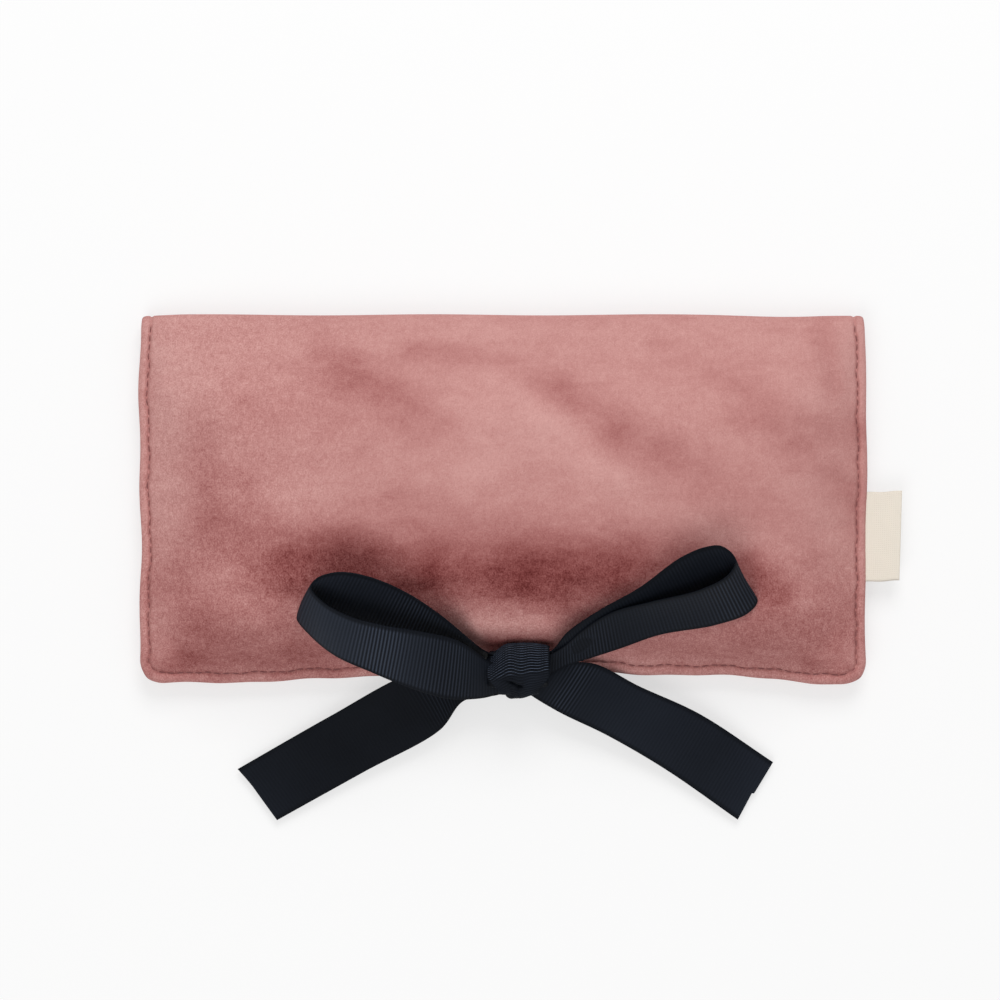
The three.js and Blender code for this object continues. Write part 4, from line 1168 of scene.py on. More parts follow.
def rail_curve(rows, count):
    """Both rails of a ribbon as smooth curves through their rows, evenly spaced along the middle"""
    rows = np.array(rows, float)
    rails = np.stack([rows[:, :3], rows[:, 3:]])
    padded = np.concatenate([2 * rails[:, :1] - rails[:, 1:2], rails, 2 * rails[:, -1:] - rails[:, -2:-1]], axis=1)
    shares = np.linspace(0, 1, 24, endpoint=False)[:, None]
    fine = []
    for k in range(len(rows) - 1):
        points = [padded[:, k + n] for n in range(4)]
        knots = [np.zeros(2)]
        for a, b in zip(points, points[1:]):
            knots.append(knots[-1] + np.maximum(np.linalg.norm(b - a, axis=1), 1e-6) ** 0.5)
        t = knots[1] + (knots[2] - knots[1]) * shares
        for spans in (((0, 1), (1, 2), (2, 3)), ((0, 2), (1, 3)), ((1, 2),)):
            points = [
                a + (b - a) * ((t - knots[i]) / (knots[j] - knots[i]))[..., None]
                for a, b, (i, j) in zip(points, points[1:], spans)
            ]
        fine.append(points[0])
    fine = np.concatenate([*fine, rails[None, :, -1]])
    arc = running_length(fine.mean(axis=1))
    places = np.linspace(0, arc[-1], count)
    even = [[np.interp(places, arc, fine[:, side, axis]) for axis in range(3)] for side in range(2)]
    return np.transpose(even, (2, 0, 1)), arc[-1]


def velvet_height(x, y):
    """Height of the flap's velvet at a plan point, or of the table past its hem"""
    side, hem = edge_distance(x, y)
    rise, _ = flap_softness(x, y)
    on_roll = (side > 0) & (hem > -0.4 * MM)
    return np.where(on_roll, flap_top(x, y) + rise, 0.0)


def ribbon_points(shares):
    """Middle surface of a ribbon: rows along it, 15 columns across it"""
    settings = ribbon_settings()
    clearance, bow = 0.9 * MM, 0.5 * MM
    rows = [[KNOT[k % 3] + value * settings.width for k, value in enumerate(row)] for row in shares]
    _, length = rail_curve(rows, 50)
    count = int(length / settings.pitch * 6)
    rails, length = rail_curve(rows, count)
    across = np.array([0, 0.018, 0.036, 0.08, 0.2, 0.35, 0.5, 0.54, 0.56, 0.65, 0.8, 0.92, 0.964, 0.982, 1.0])
    points = rails[:, None, 0] + (rails[:, None, 1] - rails[:, None, 0]) * across[None, :, None]
    normals = grid_normals(points)
    arc = np.linspace(0, length, count)
    free = smooth(np.minimum(arc, length - arc) / (14 * MM))
    swell_out = bow * free[:, None] * np.sin(across * np.pi)[None] * (1 + 0.4 * np.sin(arc * 80))[:, None]
    points = points + normals * swell_out[:, :, None]
    need = velvet_height(points[..., 0], points[..., 1]) + clearance + settings.thickness / 2 - points[..., 2]
    lift = np.maximum(need.max(axis=1), 0)
    points[..., 2] += np.maximum(lift, averaged(lift, 61))[:, None]
    return points, across, arc, length


def ribbed_slab(
    name, node, body, points, across, arc, plain=0.3, ribbed=(), tone=((0, 0.42),),
):
    """A closed strip of grosgrain: a flat selvage along each edge, and ribs that stand out in places, with painted
    highlights on their crests and a tone along the strip
    """
    settings = ribbon_settings()
    length = float(arc[-1])
    shown = np.full(len(arc), plain)
    for place, reach in ribbed:
        shown = np.maximum(shown, bell(arc / length - place, reach))
    shown = shown * (0.82 + 0.18 * np.sin(arc * 260 + 2 * np.sin(arc * 90)))
    normals = grid_normals(points)
    selvage = smooth((np.minimum(across, 1 - across) - 0.03) / 0.03)
    wave = np.cos(2 * np.pi * arc / settings.pitch)
    rib = settings.rib / 2 * (wave * (0.3 + 0.7 * shown))[:, None] * selvage[None]
    half = settings.thickness / 2 * (0.7 + 0.3 * selvage)[None]
    front = points + normals * (half + rib)[:, :, None]
    behind = points - normals * (half + rib)[:, :, None]
    flat = np.stack(np.meshgrid(across * settings.width, arc), axis=2)
    piece = slab(name, front, behind, finish_of("ribbon"), flat)
    # The crest share paints highlights on the ribs and shade between them, over the tone along the ribbon
    base = np.interp(arc / length, *zip(*tone))
    crest_and_highlight = np.maximum((base + 0.5 * wave * shown)[:, None] * (0.4 + 0.6 * selvage[None]), 0.02)
    add_share(piece, "crest_and_highlight", crest_and_highlight)
    fit(piece, body, "grosgrain", node)


def build_loops():
    # Each loop's tone paints shade near the knot and light along the loop's outer bends
    loops = (
        (
            "left", LEFT_LOOP_SHARES, ((0.26, 0.06), (0.7, 0.05), (0.84, 0.05)),
            ((0, 0.3), (0.4, 0.44), (0.56, 0.66), (0.72, 0.64), (0.84, 0.4), (1, 0.32)),
        ),
        (
            "right", RIGHT_LOOP_SHARES, ((0.06, 0.04), (0.54, 0.045), (0.87, 0.06)),
            ((0, 0.2), (0.4, 0.32), (0.56, 0.44), (0.74, 0.38), (0.84, 0.3), (1, 0.28)),
        ),
    )
    for side, shares, ribbed, tone in loops:
        points, across, arc, _ = ribbon_points(shares)
        ribbed_slab(
            f"ribbon_loop_{side}", f"bow_loop_{side}", "flap", points, across, arc,
            0.28, ribbed, tone,
        )


def cut_end(points, across, arc, cut):
    """Draws the last rows of a ribbon in, column by column, to the line that scissors left"""
    reach = 4 * MM
    back = np.clip(1 - (arc[-1] - arc) / reach, 0, 1)[:, None] * np.interp(across, *cut)[None] * MM
    step = arc[1] - arc[0]
    row = np.clip(np.arange(len(arc))[:, None] - back / step, 0, len(arc) - 1.001)
    low = row.astype(int)
    share = (row - low)[..., None]
    column = np.arange(len(across))[None]
    return points[low, column] * (1 - share) + points[low + 1, column] * share


def build_tails():
    tails = (
        (
            "left", LEFT_TAIL_SHARES, ((0.3, 0.045),), ([0, 0.3, 0.5, 1], [0, 0.45, 0.3, 0]),
            ((0, 0.1), (0.7, 0.1), (1, 0.3)),
        ),
        (
            "right", RIGHT_TAIL_SHARES, ((0.2, 0.04),), ([0, 0.54, 0.56, 1], [0, 0.1, 0.75, 0.3]),
            ((0, 0.32), (0.5, 0.46), (0.8, 0.34), (1, 0.46)),
        ),
    )
    for side, shares, ribbed, cut, tone in tails:
        points, across, arc, _ = ribbon_points(shares)
        points = cut_end(points, across, arc, cut)
        ribbed_slab(
            f"ribbon_tail_{side}", f"bow_tail_{side}", "flap", points, across, arc,
            0.1, ribbed, tone,
        )


def build_knot():
    """The band round the knot, its ribs running along the roll, over the gathered ribbon"""
    settings = ribbon_settings()
    half_depth = (KNOT_HIGH.y - KNOT_LOW.y) / 2
    half_height = (KNOT_HIGH.z - KNOT_LOW.z) / 2
    half_width = (KNOT_HIGH.x - KNOT_LOW.x) / 2
    turns, columns = 640, 27
    angle = np.linspace(0, 2 * np.pi, turns, endpoint=False)
    ring = np.stack([half_depth * np.cos(angle), half_height * np.sin(angle)], axis=1)
    arc = running_length(ring)
    total = arc[-1] + np.linalg.norm(ring[0] - ring[-1])
    ribs = round(total / settings.pitch * 1.12)
    across = np.linspace(-1, 1, columns)[None]
    front, top = np.cos(angle)[:, None], np.sin(angle)[:, None]
    x_share = across * np.ones((turns, 1))
    cut = np.where(x_share < 0, 0.38 * smooth((-front - 0.02) / 0.9), 0.36 * smooth((-front - 0.2) / 0.75))
    x_share = x_share * (1 - cut)
    barrel = 1 - 0.1 * np.abs(across) ** 2.6 - 0.2 * smooth((-across - 0.35) / 0.65)
    wander = (
        2.6 * MM * smooth((-across - 0.25) / 0.75) + 0.24 * MM * np.sin(11 * across + 0.6)
        + 0.34 * MM * np.sin(4.6 * across + 1.1) - 0.5 * MM * smooth((across - 0.5) / 0.5)
    )
    drop = 1.7 * MM * smooth((-across - 0.3) / 0.7)
    phase = 2 * np.pi * (arc[:, None] * ribs / total - wander / settings.pitch)
    folds = 0.3 * MM * np.sin(2 * angle[:, None] + 1.4 * across) * (1 - across ** 2)
    under = smooth((-front - 0.1 + 0.12 * across) / 0.16) * smooth((top + 0.5) / 0.3)
    crease = bell(across + 0.14, 0.2) * bell(front + 0.58 + 0.38 * (across + 0.14), 0.05)
    gap = np.maximum(0.7 * crease, bell(across - 0.07, 0.07) * bell(front + 0.68, 0.06))
    gap = gap * (top > 0)
    folds = folds + under * (0.35 * MM * np.sin(5.2 * across + 1.2) - 0.4 * MM)
    dent = 2.2 * MM * gap
    selvage = smooth((1 - np.abs(across)) / 0.08)
    crest_and_highlight = np.cos(phase) * selvage
    lift = settings.rib * 1.35 * crest_and_highlight * (1 - 0.5 * under) + folds
    layers = []
    for depth in (0.0, 0.95 * MM):
        y = (half_depth * barrel - depth - dent + lift * (depth == 0)) * front - drop
        y = y - 1.3 * MM * smooth(front)
        z = (half_height * barrel - depth - dent + lift * (depth == 0)) * top
        x = half_width * x_share
        layers.append(grid(KNOT.x + x, KNOT.y + y, KNOT.z + z))
    vertices = np.concatenate([layer.reshape(-1, 3) for layer in layers])
    count = turns * columns
    faces = grid_faces(turns, columns, 0, True, wrap=True) + grid_faces(turns, columns, count, False, wrap=True)
    for j in range(turns):
        following = (j + 1) % turns
        for i, flip in ((0, False), (columns - 1, True)):
            a, b = j * columns + i, following * columns + i
            face = (a, b, count + b, count + a)
            faces.append(face[::-1] if flip else face)
    wrap = new_object("ribbon_knot_wrap", vertices, faces, finish_of("ribbon"))
    flat = np.stack([x_share * half_width, arc[:, None] + 0 * x_share], axis=2).reshape(-1, 2)
    add_flat_map(wrap, np.concatenate([flat, flat]))
    # Painted highlights on the rib crests, painted shade on the band's underside and in its creases
    knot_highlight_and_shade = (0.02 + 1.7 * (0.5 + 0.5 * crest_and_highlight) ** 9) * (1 - under)
    knot_highlight_and_shade = knot_highlight_and_shade + (0.28 + 0.1 * crest_and_highlight + 0.08 * np.sin(4.4 * across - 0.6)) * under * (1 - gap)
    add_share(wrap, "crest_and_highlight", np.stack([knot_highlight_and_shade, 0 * knot_highlight_and_shade + 0.3]))
    fit(wrap, "flap", "grosgrain", "bow_knot_wrap")
    build_knot_core(half_width, half_depth, half_height)


def knot_lump():
    """The folded ribbon that shows under the knot"""
    points, faces = turned_shell(
        [(0, -1), *[(math.sin(a), -math.cos(a)) for a in np.linspace(0.15, math.pi - 0.15, 22)], (0, 1)],
        (0, 0, 0), 40,
    )
    turn = np.arctan2(points[:, 1], points[:, 0])
    fold = 1 + 0.05 * np.cos(2 * turn + 0.8 * points[:, 2]) + 0.025 * np.cos(26 * points[:, 2])
    rounded = np.sign(points) * np.abs(points) ** 0.8
    crease = bell(points[:, 0] - 0.9 * points[:, 2], 0.14) * np.clip(-2 * points[:, 1], 0, 1)
    rounded[:, 1] *= 1 - 0.2 * crease
    size = np.array([2.8, 2.9, 3.7]) * MM
    centre = np.array([KNOT.x - 1.3 * MM, KNOT_LOW.y + 2.4 * MM, KNOT_LOW.z + 4.1 * MM])
    return rounded * size * fold[:, None] + centre, faces


def build_knot_core(half_width, half_depth, half_height):
    """The gathered ribbon inside the band: pleats that run out at both ends"""
    around, along = 60, 25
    angle = np.linspace(0, 2 * np.pi, around, endpoint=False)
    share = np.linspace(-1, 1, along)
    pleats = 0.55 * MM * np.cos(7 * angle[None] + 2 * share[:, None]) + 0.3 * MM * np.cos(13 * angle[None] + 0.5)
    flare = 0.8 - 0.12 * np.abs(share) ** 2
    y = (half_depth * flare[:, None] - 1.2 * MM + pleats * 0.6) * np.cos(angle)[None]
    z = (half_height * flare[:, None] - 1.2 * MM + pleats * 0.6) * np.sin(angle)[None]
    x = half_width * 0.96 * share[:, None] + 0 * y
    points = grid(KNOT.x + x, KNOT.y + y, KNOT.z + z)
    core = merged_shells("ribbon_knot_core", [capped_tube(points), knot_lump()], finish_of("ribbon"))
    places = np.array([v.co for v in core.data.vertices])
    add_flat_map(core, places[:, :2])
    fit(core, "flap", "grosgrain", "bow_knot_core")


def build_label():
    """A folded tape with its two ends in the side seam, printed with nothing"""
    low, high = LABEL_LOW, LABEL_HIGH
    middle = (low.z + high.z) / 2
    start = HALF_WIDTH - 1.6 * MM
    outer = (high.z - low.z) / 2 - 0.05 * MM
    bend = high.x - outer
    lower = [
        (x, middle - outer + 0.25 * MM * (1 - (x - start) / (bend - start))) for x in np.linspace(start, bend, 14)
    ]
    path = lower + arc_points(bend, middle, outer, 11)[1:-1] + [(x, 2 * middle - z) for x, z in reversed(lower)]
    y = np.linspace(low.y, high.y, 34)
    share = (y - low.y) / (high.y - low.y)
    points = np.zeros((len(path), len(y), 3))
    for j, (x, z) in enumerate(path):
        out = (x - start) / (high.x - start)
        points[j, :, 0] = x - 1.7 * MM * (1 - share) * out * 0.55
        points[j, :, 1] = y + 0.5 * MM * out + 0.12 * MM * math.sin(9 * out)
        points[j, :, 2] = z + 0.28 * MM * np.sin(share * 5 + 0.5) * out
    flat = measured_flat(points)
    piece = cloth_slab("tape_label", points, 0.42 * MM, finish_of("label"), flat)
    fit(piece, "flap", "label_tape", "side_label")


# Inside pieces


def lining_top(x, y):
    """Upper face of the back cover's lining, a little under the room that the frame gives it"""
    plain = HEM_THICKNESS + (COVER_THICKNESS - HEM_THICKNESS) * swell(x, y, BACK_HEM_INSET)
    return plain - 0.1 * MM * (1 + np.sin(140 * x + 90 * y)) * swell(x, y, BACK_HEM_INSET)


def flap_inner(x, y):
    """Lower face of the flap's lining"""
    return flap_under(x, y) + 0.09 * MM * (1 + np.sin(130 * x - 80 * y)) * swell(x, y)


def tube_shell(path, radius, reference, sides):
    """Points and faces of a closed round bar along a path"""
    path = np.asarray(path, float)
    tangent = np.gradient(path, axis=0)
    tangent /= np.linalg.norm(tangent, axis=1, keepdims=True)
    side = np.cross(tangent, reference)
    side /= np.linalg.norm(side, axis=1, keepdims=True)
    top = np.cross(side, tangent)
    angle = np.arange(sides) * 2 * np.pi / sides
    ring = side[:, None] * np.cos(angle)[None, :, None] + top[:, None] * np.sin(angle)[None, :, None]
    points = path[:, None] + ring * radius
    return points.reshape(-1, 3), tube_faces(len(path), sides)


def capped_tube(points):
    """Points and faces of a tube from its rings, both ends closed to a middle point"""
    rows, around, _ = points.shape
    vertices = list(points.reshape(-1, 3))
    faces = tube_faces(rows, around)[:-2]
    for row in (0, rows - 1):
        centre = len(vertices)
        vertices.append(points[row].mean(axis=0))
        for k in range(around):
            a, b = row * around + k, row * around + (k + 1) % around
            faces.append((a, b, centre) if row else (b, a, centre))
    return np.array(vertices), faces


def merged_shells(name, shells, material):
    vertices, faces, start = [], [], 0
    for points, own in shells:
        vertices.append(points)
        faces += [tuple(start + k for k in face) for face in own]
        start += len(points)
    return new_object(name, np.concatenate(vertices), faces, material)


def shell_of(shape):
    """Points and faces of a bmesh, which is then freed"""
    points = np.array([v.co for v in shape.verts])
    faces = [tuple(v.index for v in f.verts) for f in shape.faces]
    shape.free()
    return points, faces


def plate_shell(loops, low, high, bevel):
    """A flat plate with rounded edges, cut to an outline with any holes"""
    curve = bpy.data.curves.new("plate", "CURVE")
    curve.dimensions = "2D"
    curve.fill_mode = "BOTH"
    curve.extrude = (high - low) / 2 - bevel
    curve.bevel_depth = bevel
    curve.bevel_resolution = 3
    curve.offset = -bevel
    for loop in loops:
        spline = curve.splines.new("POLY")
        spline.points.add(len(loop) - 1)
        for point, (x, y) in zip(spline.points, loop):
            point.co = (x, y, 0, 1)
        spline.use_cyclic_u = True
    holder = bpy.data.objects.new("plate", curve)
    bpy.context.scene.collection.objects.link(holder)
    graph = bpy.context.evaluated_depsgraph_get()
    mesh = bpy.data.meshes.new_from_object(holder.evaluated_get(graph))
    bpy.data.objects.remove(holder)
    shape = bmesh.new()
    shape.from_mesh(mesh)
    bmesh.ops.remove_doubles(shape, verts=shape.verts, dist=0.001 * MM)
    bmesh.ops.recalc_face_normals(shape, faces=shape.faces)
    points, faces = shell_of(shape)
    return points + np.array([0, 0, (low + high) / 2]), faces


def block_shell(low, high, bevel):
    """A block with rounded edges between two corners"""
    shape = bmesh.new()
    bmesh.ops.create_cube(shape, size=1)
    low, high = np.array(low), np.array(high)
    for vertex in shape.verts:
        vertex.co = Vector((np.array(vertex.co) + 0.5) * (high - low) + low)
    bmesh.ops.bevel(
        shape, geom=shape.edges[:], offset=bevel, offset_type="OFFSET", segments=3, profile=0.5,
        affect="EDGES", clamp_overlap=True,
    )
    return shell_of(shape)


def turned_shell(profile, centre, steps=56):
    """A turned piece from radii and heights that start and end on the axis"""
    x, y, z = centre
    inner = profile[1:-1]
    angle = np.arange(steps) * 2 * np.pi / steps
    points = [(x, y, z + profile[0][1])]
    for radius, height in inner:
        points += zip(x + radius * np.cos(angle), y + radius * np.sin(angle), np.full(steps, z + height))
    points.append((x, y, z + profile[-1][1]))
    last = 1 + len(inner) * steps
    faces = []
    for k in range(steps):
        following = (k + 1) % steps
        faces.append((0, 1 + following, 1 + k))
        for j in range(len(inner) - 1):
            a, b = 1 + j * steps + k, 1 + j * steps + following
            faces.append((a, b, b + steps, a + steps))
        faces.append((last - steps + k, last - steps + following, last))
    return np.array(points), faces


def turned_about(shell, x, y, facing):
    """Sets a shell made about the origin at a zip, turned half round where it faces left"""
    points, faces = shell
    return points * (facing, facing, 1) + (x, y, 0), faces


def smooth_by_angle(piece, degrees):
    piece.data.set_sharp_from_angle(angle=math.radians(degrees))


def metal_piece(name, shells, degrees, body, node):
    piece = merged_shells(name, shells, finish_of("metal"))
    smooth_by_angle(piece, degrees)
    fit(piece, body, "gold_metal", node)


def wadding_block(name, low, high, inset, body, node):
    """Loose fibre between the velvet and the lining, thinning out towards the seams"""
    columns, rows = 74, 40
    x_lines = np.linspace(-(HALF_WIDTH - inset), HALF_WIDTH - inset, columns)
    share = np.linspace(0, 1, rows)
    x = np.repeat(x_lines[None], rows, axis=0)
    first = hem_line(x) + inset
    y = first + (FOLD_EDGE_Y - 2.4 * MM - first) * share[:, None]
    bottom, top = low(x, y), high(x, y)
    across = np.minimum(np.arange(columns), np.arange(columns)[::-1])
    along = np.minimum(np.arange(rows), np.arange(rows)[::-1])
    thin = smooth(np.minimum(across[None], along[:, None]) / 3.0)
    lumps = 0.12 * MM * np.sin(310 * x + 2) * np.sin(270 * y) * thin
    middle = (bottom + top) / 2
    half = np.maximum((top - bottom) / 2 * (0.15 + 0.85 * thin), 0.06 * MM)
    upper = grid(x, y, middle + half - np.abs(lumps))
    under = grid(x, y, middle - half + np.abs(lumps))
    piece = slab(name, upper, under, finish_of("wadding"))
    fit(piece, body, "wadding", node)


def build_wadding():
    cloth = velvet_settings().thickness
    wadding_block(
        "back_wadding", lambda x, y: cloth + 0.25 * MM + 0 * x,
        lambda x, y: lining_top(x, y) - 0.6 * MM, 6.4 * MM, "back", "back_padding",
    )
    wadding_block(
        "flap_wadding", lambda x, y: flap_inner(x, y) + 0.6 * MM,
        lambda x, y: flap_top(x, y) + flap_softness(x, y)[0] - cloth - 0.45 * MM, 5.6 * MM,
        "flap", "flap_padding",
    )


def rim_lines(low, high, count, edge=0.9 * MM):
    """Lines across a panel, close together at both of its edges"""
    fine = np.array([0, 0.12, 0.3, 0.6, 1.0]) * edge
    middle = np.linspace(low + edge, high - edge, count)[1:-1]
    return np.concatenate([low + fine, middle, high - fine[::-1]])


def rounded_drop(distance, radius):
    """How far a rounded edge falls below the face beside it"""
    share = np.clip(1 - distance / radius, 0, 1)
    return radius * (1 - np.sqrt(1 - share**2))


def sewn_panel(name, half, low_edge, high_edge, face, cloth, finish, outward=1, columns=150, rows=26):
    """A cloth panel with rounded folded edges; face gives the height of its outer side"""
    x_lines = rim_lines(-half, half, columns)
    y_share = rim_lines(0, 1, rows, 0.02)
    x = np.repeat(x_lines[None], len(y_share), axis=0)
    low, high = low_edge(x), high_edge(x)
    y = low + (high - low) * y_share[:, None]
    edge = np.minimum(np.minimum(half - np.abs(x), y - low), high - y)
    z = face(x, y) - outward * rounded_drop(edge, 0.42 * MM)
    points = grid(x, y, z)
    inner = points - np.array([0, 0, outward * cloth])
    return slab(name, points, inner, finish_of(finish), measured_flat(points), outward)


def seam(lines, face, pitch=2.6 * MM, sink=0.02 * MM, outward=1, dip=0.2 * MM):
    """Stitch paths along lines on a face; outward is 1 where the face looks up and -1 where it looks down"""
    bow = np.array([1.0, 0.12, 0.0, 0.12, 1.0]) * dip
    runs = [run for line in lines for run in stitch_runs(np.array(line), pitch, 0.24)]
    return [np.column_stack([run, face(run[:, 0], run[:, 1]) - outward * (sink + bow)]) for run in runs]


def zip_place(prefix):
    """Middle line of a zip, and the top of its tape"""
    low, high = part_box(f"{prefix}_zip_coil")
    return (low.y + high.y) / 2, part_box(f"{prefix}_zip_tape_upper")[1].z


def build_pockets():
    header_low, header_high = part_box("pocket_header")
    upper_low, upper_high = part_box("upper_pocket_panel")
    lower_low, lower_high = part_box("lower_pocket_panel")
    half = header_high.x
    rest = header_low.z + 0.72 * MM

    def face_between(low_edge, high_edge, puff, seed):
        def face(x, y):
            low, high = low_edge(x), high_edge(x)
            inside = arch(half - np.abs(x) - 2 * MM, 22 * MM)
            share = (y - low) / (high - low)
            belly = puff * inside * np.sin(np.pi * np.clip(share, 0, 1)) ** 0.8
            drag = np.sin(110 * x + 60 * y + seed) * np.sin(47 * x - 90 * y + 2 * seed)
            near = bell(np.minimum(y - low, high - y) - 5 * MM, 5 * MM)
            pulls = 0.1 * MM * near * np.sin(430 * x + 2 * np.sin(130 * x + seed))
            fold = 0.2 * MM * smooth((5.4 * MM - np.minimum(y - low, high - y)) / (0.5 * MM))
            return rest + belly * (1 + 0.16 * drag) + pulls * inside + fold
        return face

    panels = (
        ("pocket_header_cloth", "pocket_header", level(header_low.y), level(header_high.y), 0.0, 1.0),
        ("upper_pocket_cloth", "upper_pocket_panel", level(upper_low.y), level(upper_high.y), 1.1 * MM, 2.2),
        ("lower_pocket_cloth", "lower_pocket_panel", lambda x: hem_line(x) + lower_low.y + HALF_DEPTH,
         level(lower_high.y), 1.1 * MM, 3.7),
    )
    seam_inset = 2.2 * MM
    paths = []
    for name, node, low_edge, high_edge, puff, seed in panels:
        face = face_between(low_edge, high_edge, puff, seed)
        piece = sewn_panel(name, half, low_edge, high_edge, face, 0.42 * MM, "pocket")
        width, depth = 2 * half, float(high_edge(0.0) - low_edge(100 * MM))
        fit(piece, "back", "lining", node)
        inside = half - seam_inset
        x = np.linspace(-inside, inside, 120)
        lines = [
            np.column_stack([x, low_edge(x) + seam_inset]),
            np.column_stack([x, high_edge(x) - seam_inset]),
        ]
        for side in (-inside, inside):
            ends = (side, float(low_edge(side)) + seam_inset), (side, float(high_edge(side)) - seam_inset)
            lines.append(np.linspace(*ends, 30))
        paths += seam(lines, face)
    sew("pocket_stitches", paths, 0.14 * MM, "back")


def build_tape(prefix, part):
    """Half of a zip's tape, which meets the other half past both ends of the coil"""
    node = f"{prefix}_zip_tape_{part}"
    low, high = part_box(node)
    zip_y, top = zip_place(prefix)
    coil_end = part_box(f"{prefix}_zip_coil")[1].x

    def inner_edge(x):
        edge = low.y if part == "upper" else high.y
        closed = smooth((np.abs(x) - coil_end - 2.2 * MM) / (2.5 * MM))
        return edge + (zip_y + 0.12 * MM * np.sign(edge - zip_y) - edge) * closed

    edges = (inner_edge, level(high.y)) if part == "upper" else (level(low.y), inner_edge)
    piece = sewn_panel(
        f"{node}_cloth", high.x, *edges, lambda x, y: top - 0.02 * MM + 0 * x - 0.02 * MM * np.sin(900 * y),
        0.4 * MM, "tape", columns=130, rows=12,
    )
    fit(piece, "back", "zip_tape", node)


def build_coil(prefix, pitch):
    """Both halves of a closed zip's coil, and the stitches that hold them on the tapes"""
    low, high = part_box(f"{prefix}_zip_coil")
    zip_y, _ = zip_place(prefix)
    wire = 0.3 * MM
    first, last = low.x + wire, high.x - wire
    half_height = (high.z - low.z) / 2 - wire
    reach = (high.y - low.y) / 4 - wire / 2
    turns = int((last - first) / pitch)
    angle = np.linspace(0, 2 * np.pi * turns, turns * 12 + 1)
    flattened = np.sign(np.cos(angle)) * np.abs(np.cos(angle)) ** 0.6
    shells = []
    for side in (-1, 1):
        x = first + (last - first) * angle / angle[-1]
        x = np.clip(x + (side > 0) * pitch / 2, first, last)
        y = zip_y + side * (reach + 0.12 * MM) + reach * flattened
        z = (low.z + high.z) / 2 + half_height * np.sin(angle)
        shells.append(tube_shell(np.column_stack([x, y, z]), wire, (1.0, 0.0, 0.0), 6))
    coil = merged_shells(f"{prefix}_coil_turns", shells, finish_of("coil"))
    fit(coil, "back", "zip_coil", f"{prefix}_zip_coil")
    lines = [
        np.linspace((low.x + MM, zip_y + side), (high.x - MM, zip_y + side), 200) for side in (-1.75 * MM, 1.75 * MM)
    ]
    paths = seam(lines, lambda x, y: 0 * x + high.z + 0.06 * MM, 1.3 * MM, 0, 1, 0.12 * MM)
    sew(f"{prefix}_coil_stitches", paths, 0.12 * MM, "back", "coil", "zip_coil", 5)


def build_zips():
    for prefix in ("upper", "lower"):
        for part in ("upper", "lower"):
            build_tape(prefix, part)
        build_coil(prefix, inside_settings().tooth_pitch)
        for side in ("left", "right"):
            node = f"{prefix}_zip_stop_{side}"
            low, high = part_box(node)
            shells = [block_shell(low, high, 0.45 * MM)]
            for y in ((low.y + high.y) / 2 - 1.35 * MM, (low.y + high.y) / 2 + 1.35 * MM):
                shells.append(block_shell(
                    (low.x - 0.12 * MM, y - 0.5 * MM, low.z), (high.x + 0.12 * MM, y + 0.5 * MM, high.z), 0.3 * MM,
                ))
            metal_piece(f"{prefix}_stop_{side}", shells, 40, "back", node)


def build_sliders():
    for prefix, facing in (("upper", -1), ("lower", 1)):
        low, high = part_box(f"{prefix}_slider_body")
        coil_low, coil_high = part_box(f"{prefix}_zip_coil")
        zip_y, tape_top = zip_place(prefix)
        x = (low.x + high.x) / 2
        half_length, half_width = (high.x - low.x) / 2, (high.y - low.y) / 2
        plate_low = tape_top + 2.0 * MM
        plate_high = plate_low + MM
        nose = 2.7 * MM
        corner = [
            (half_length * 0.15, half_width), (half_length * 0.5, half_width * 0.93),
            (half_length * 0.82, nose + 0.42 * MM), (half_length * 0.97, nose - 0.4 * MM),
            (half_length, nose - 1.3 * MM),
        ]
        back = [
            (-half_length + 0.15 * MM, half_width - 1.1 * MM), (-half_length + 0.55 * MM, half_width - 0.35 * MM),
            (-half_length + 1.3 * MM, half_width),
        ]
        upper = back + corner
        outline = upper + [(a, -b) for a, b in reversed(upper)]
        shells = [plate_shell([outline], plate_low, plate_high, 0.28 * MM)]
        flange = half_width - (coil_high.y - coil_low.y) / 2 - 0.3 * MM
        for side in (-1, 1):
            edges = sorted((side * half_width, side * (half_width - flange)))
            shells.append(block_shell(
                (-half_length + 0.35 * MM, edges[0], low.z),
                (half_length * 0.3, edges[1], plate_low + 0.6 * MM), 0.25 * MM,
            ))
        bail_half = 3.05 * MM
        arc = [(-bail_half, plate_high - 0.35 * MM), (-bail_half, plate_high + 0.9 * MM)]
        arc += [
            (-bail_half + MM - MM * math.cos(a), high.z - 1.42 * MM + MM * math.sin(a))
            for a in np.linspace(0.3, math.pi / 2, 6)
        ]
        arc += [(-u, z) for u, z in reversed(arc)]
        points, faces = tube_shell([(u, 0, z) for u, z in arc], 0.42 * MM, (0.0, 1.0, 0.0), 12)
        shells.append((points * (1, 1.8, 1), faces))
        shells = [turned_about(shell, x, zip_y, facing) for shell in shells]
        metal_piece(f"{prefix}_slider", shells, 42, f"{prefix}_slider", f"{prefix}_slider_body")
        build_pull(prefix, x, zip_y, facing)


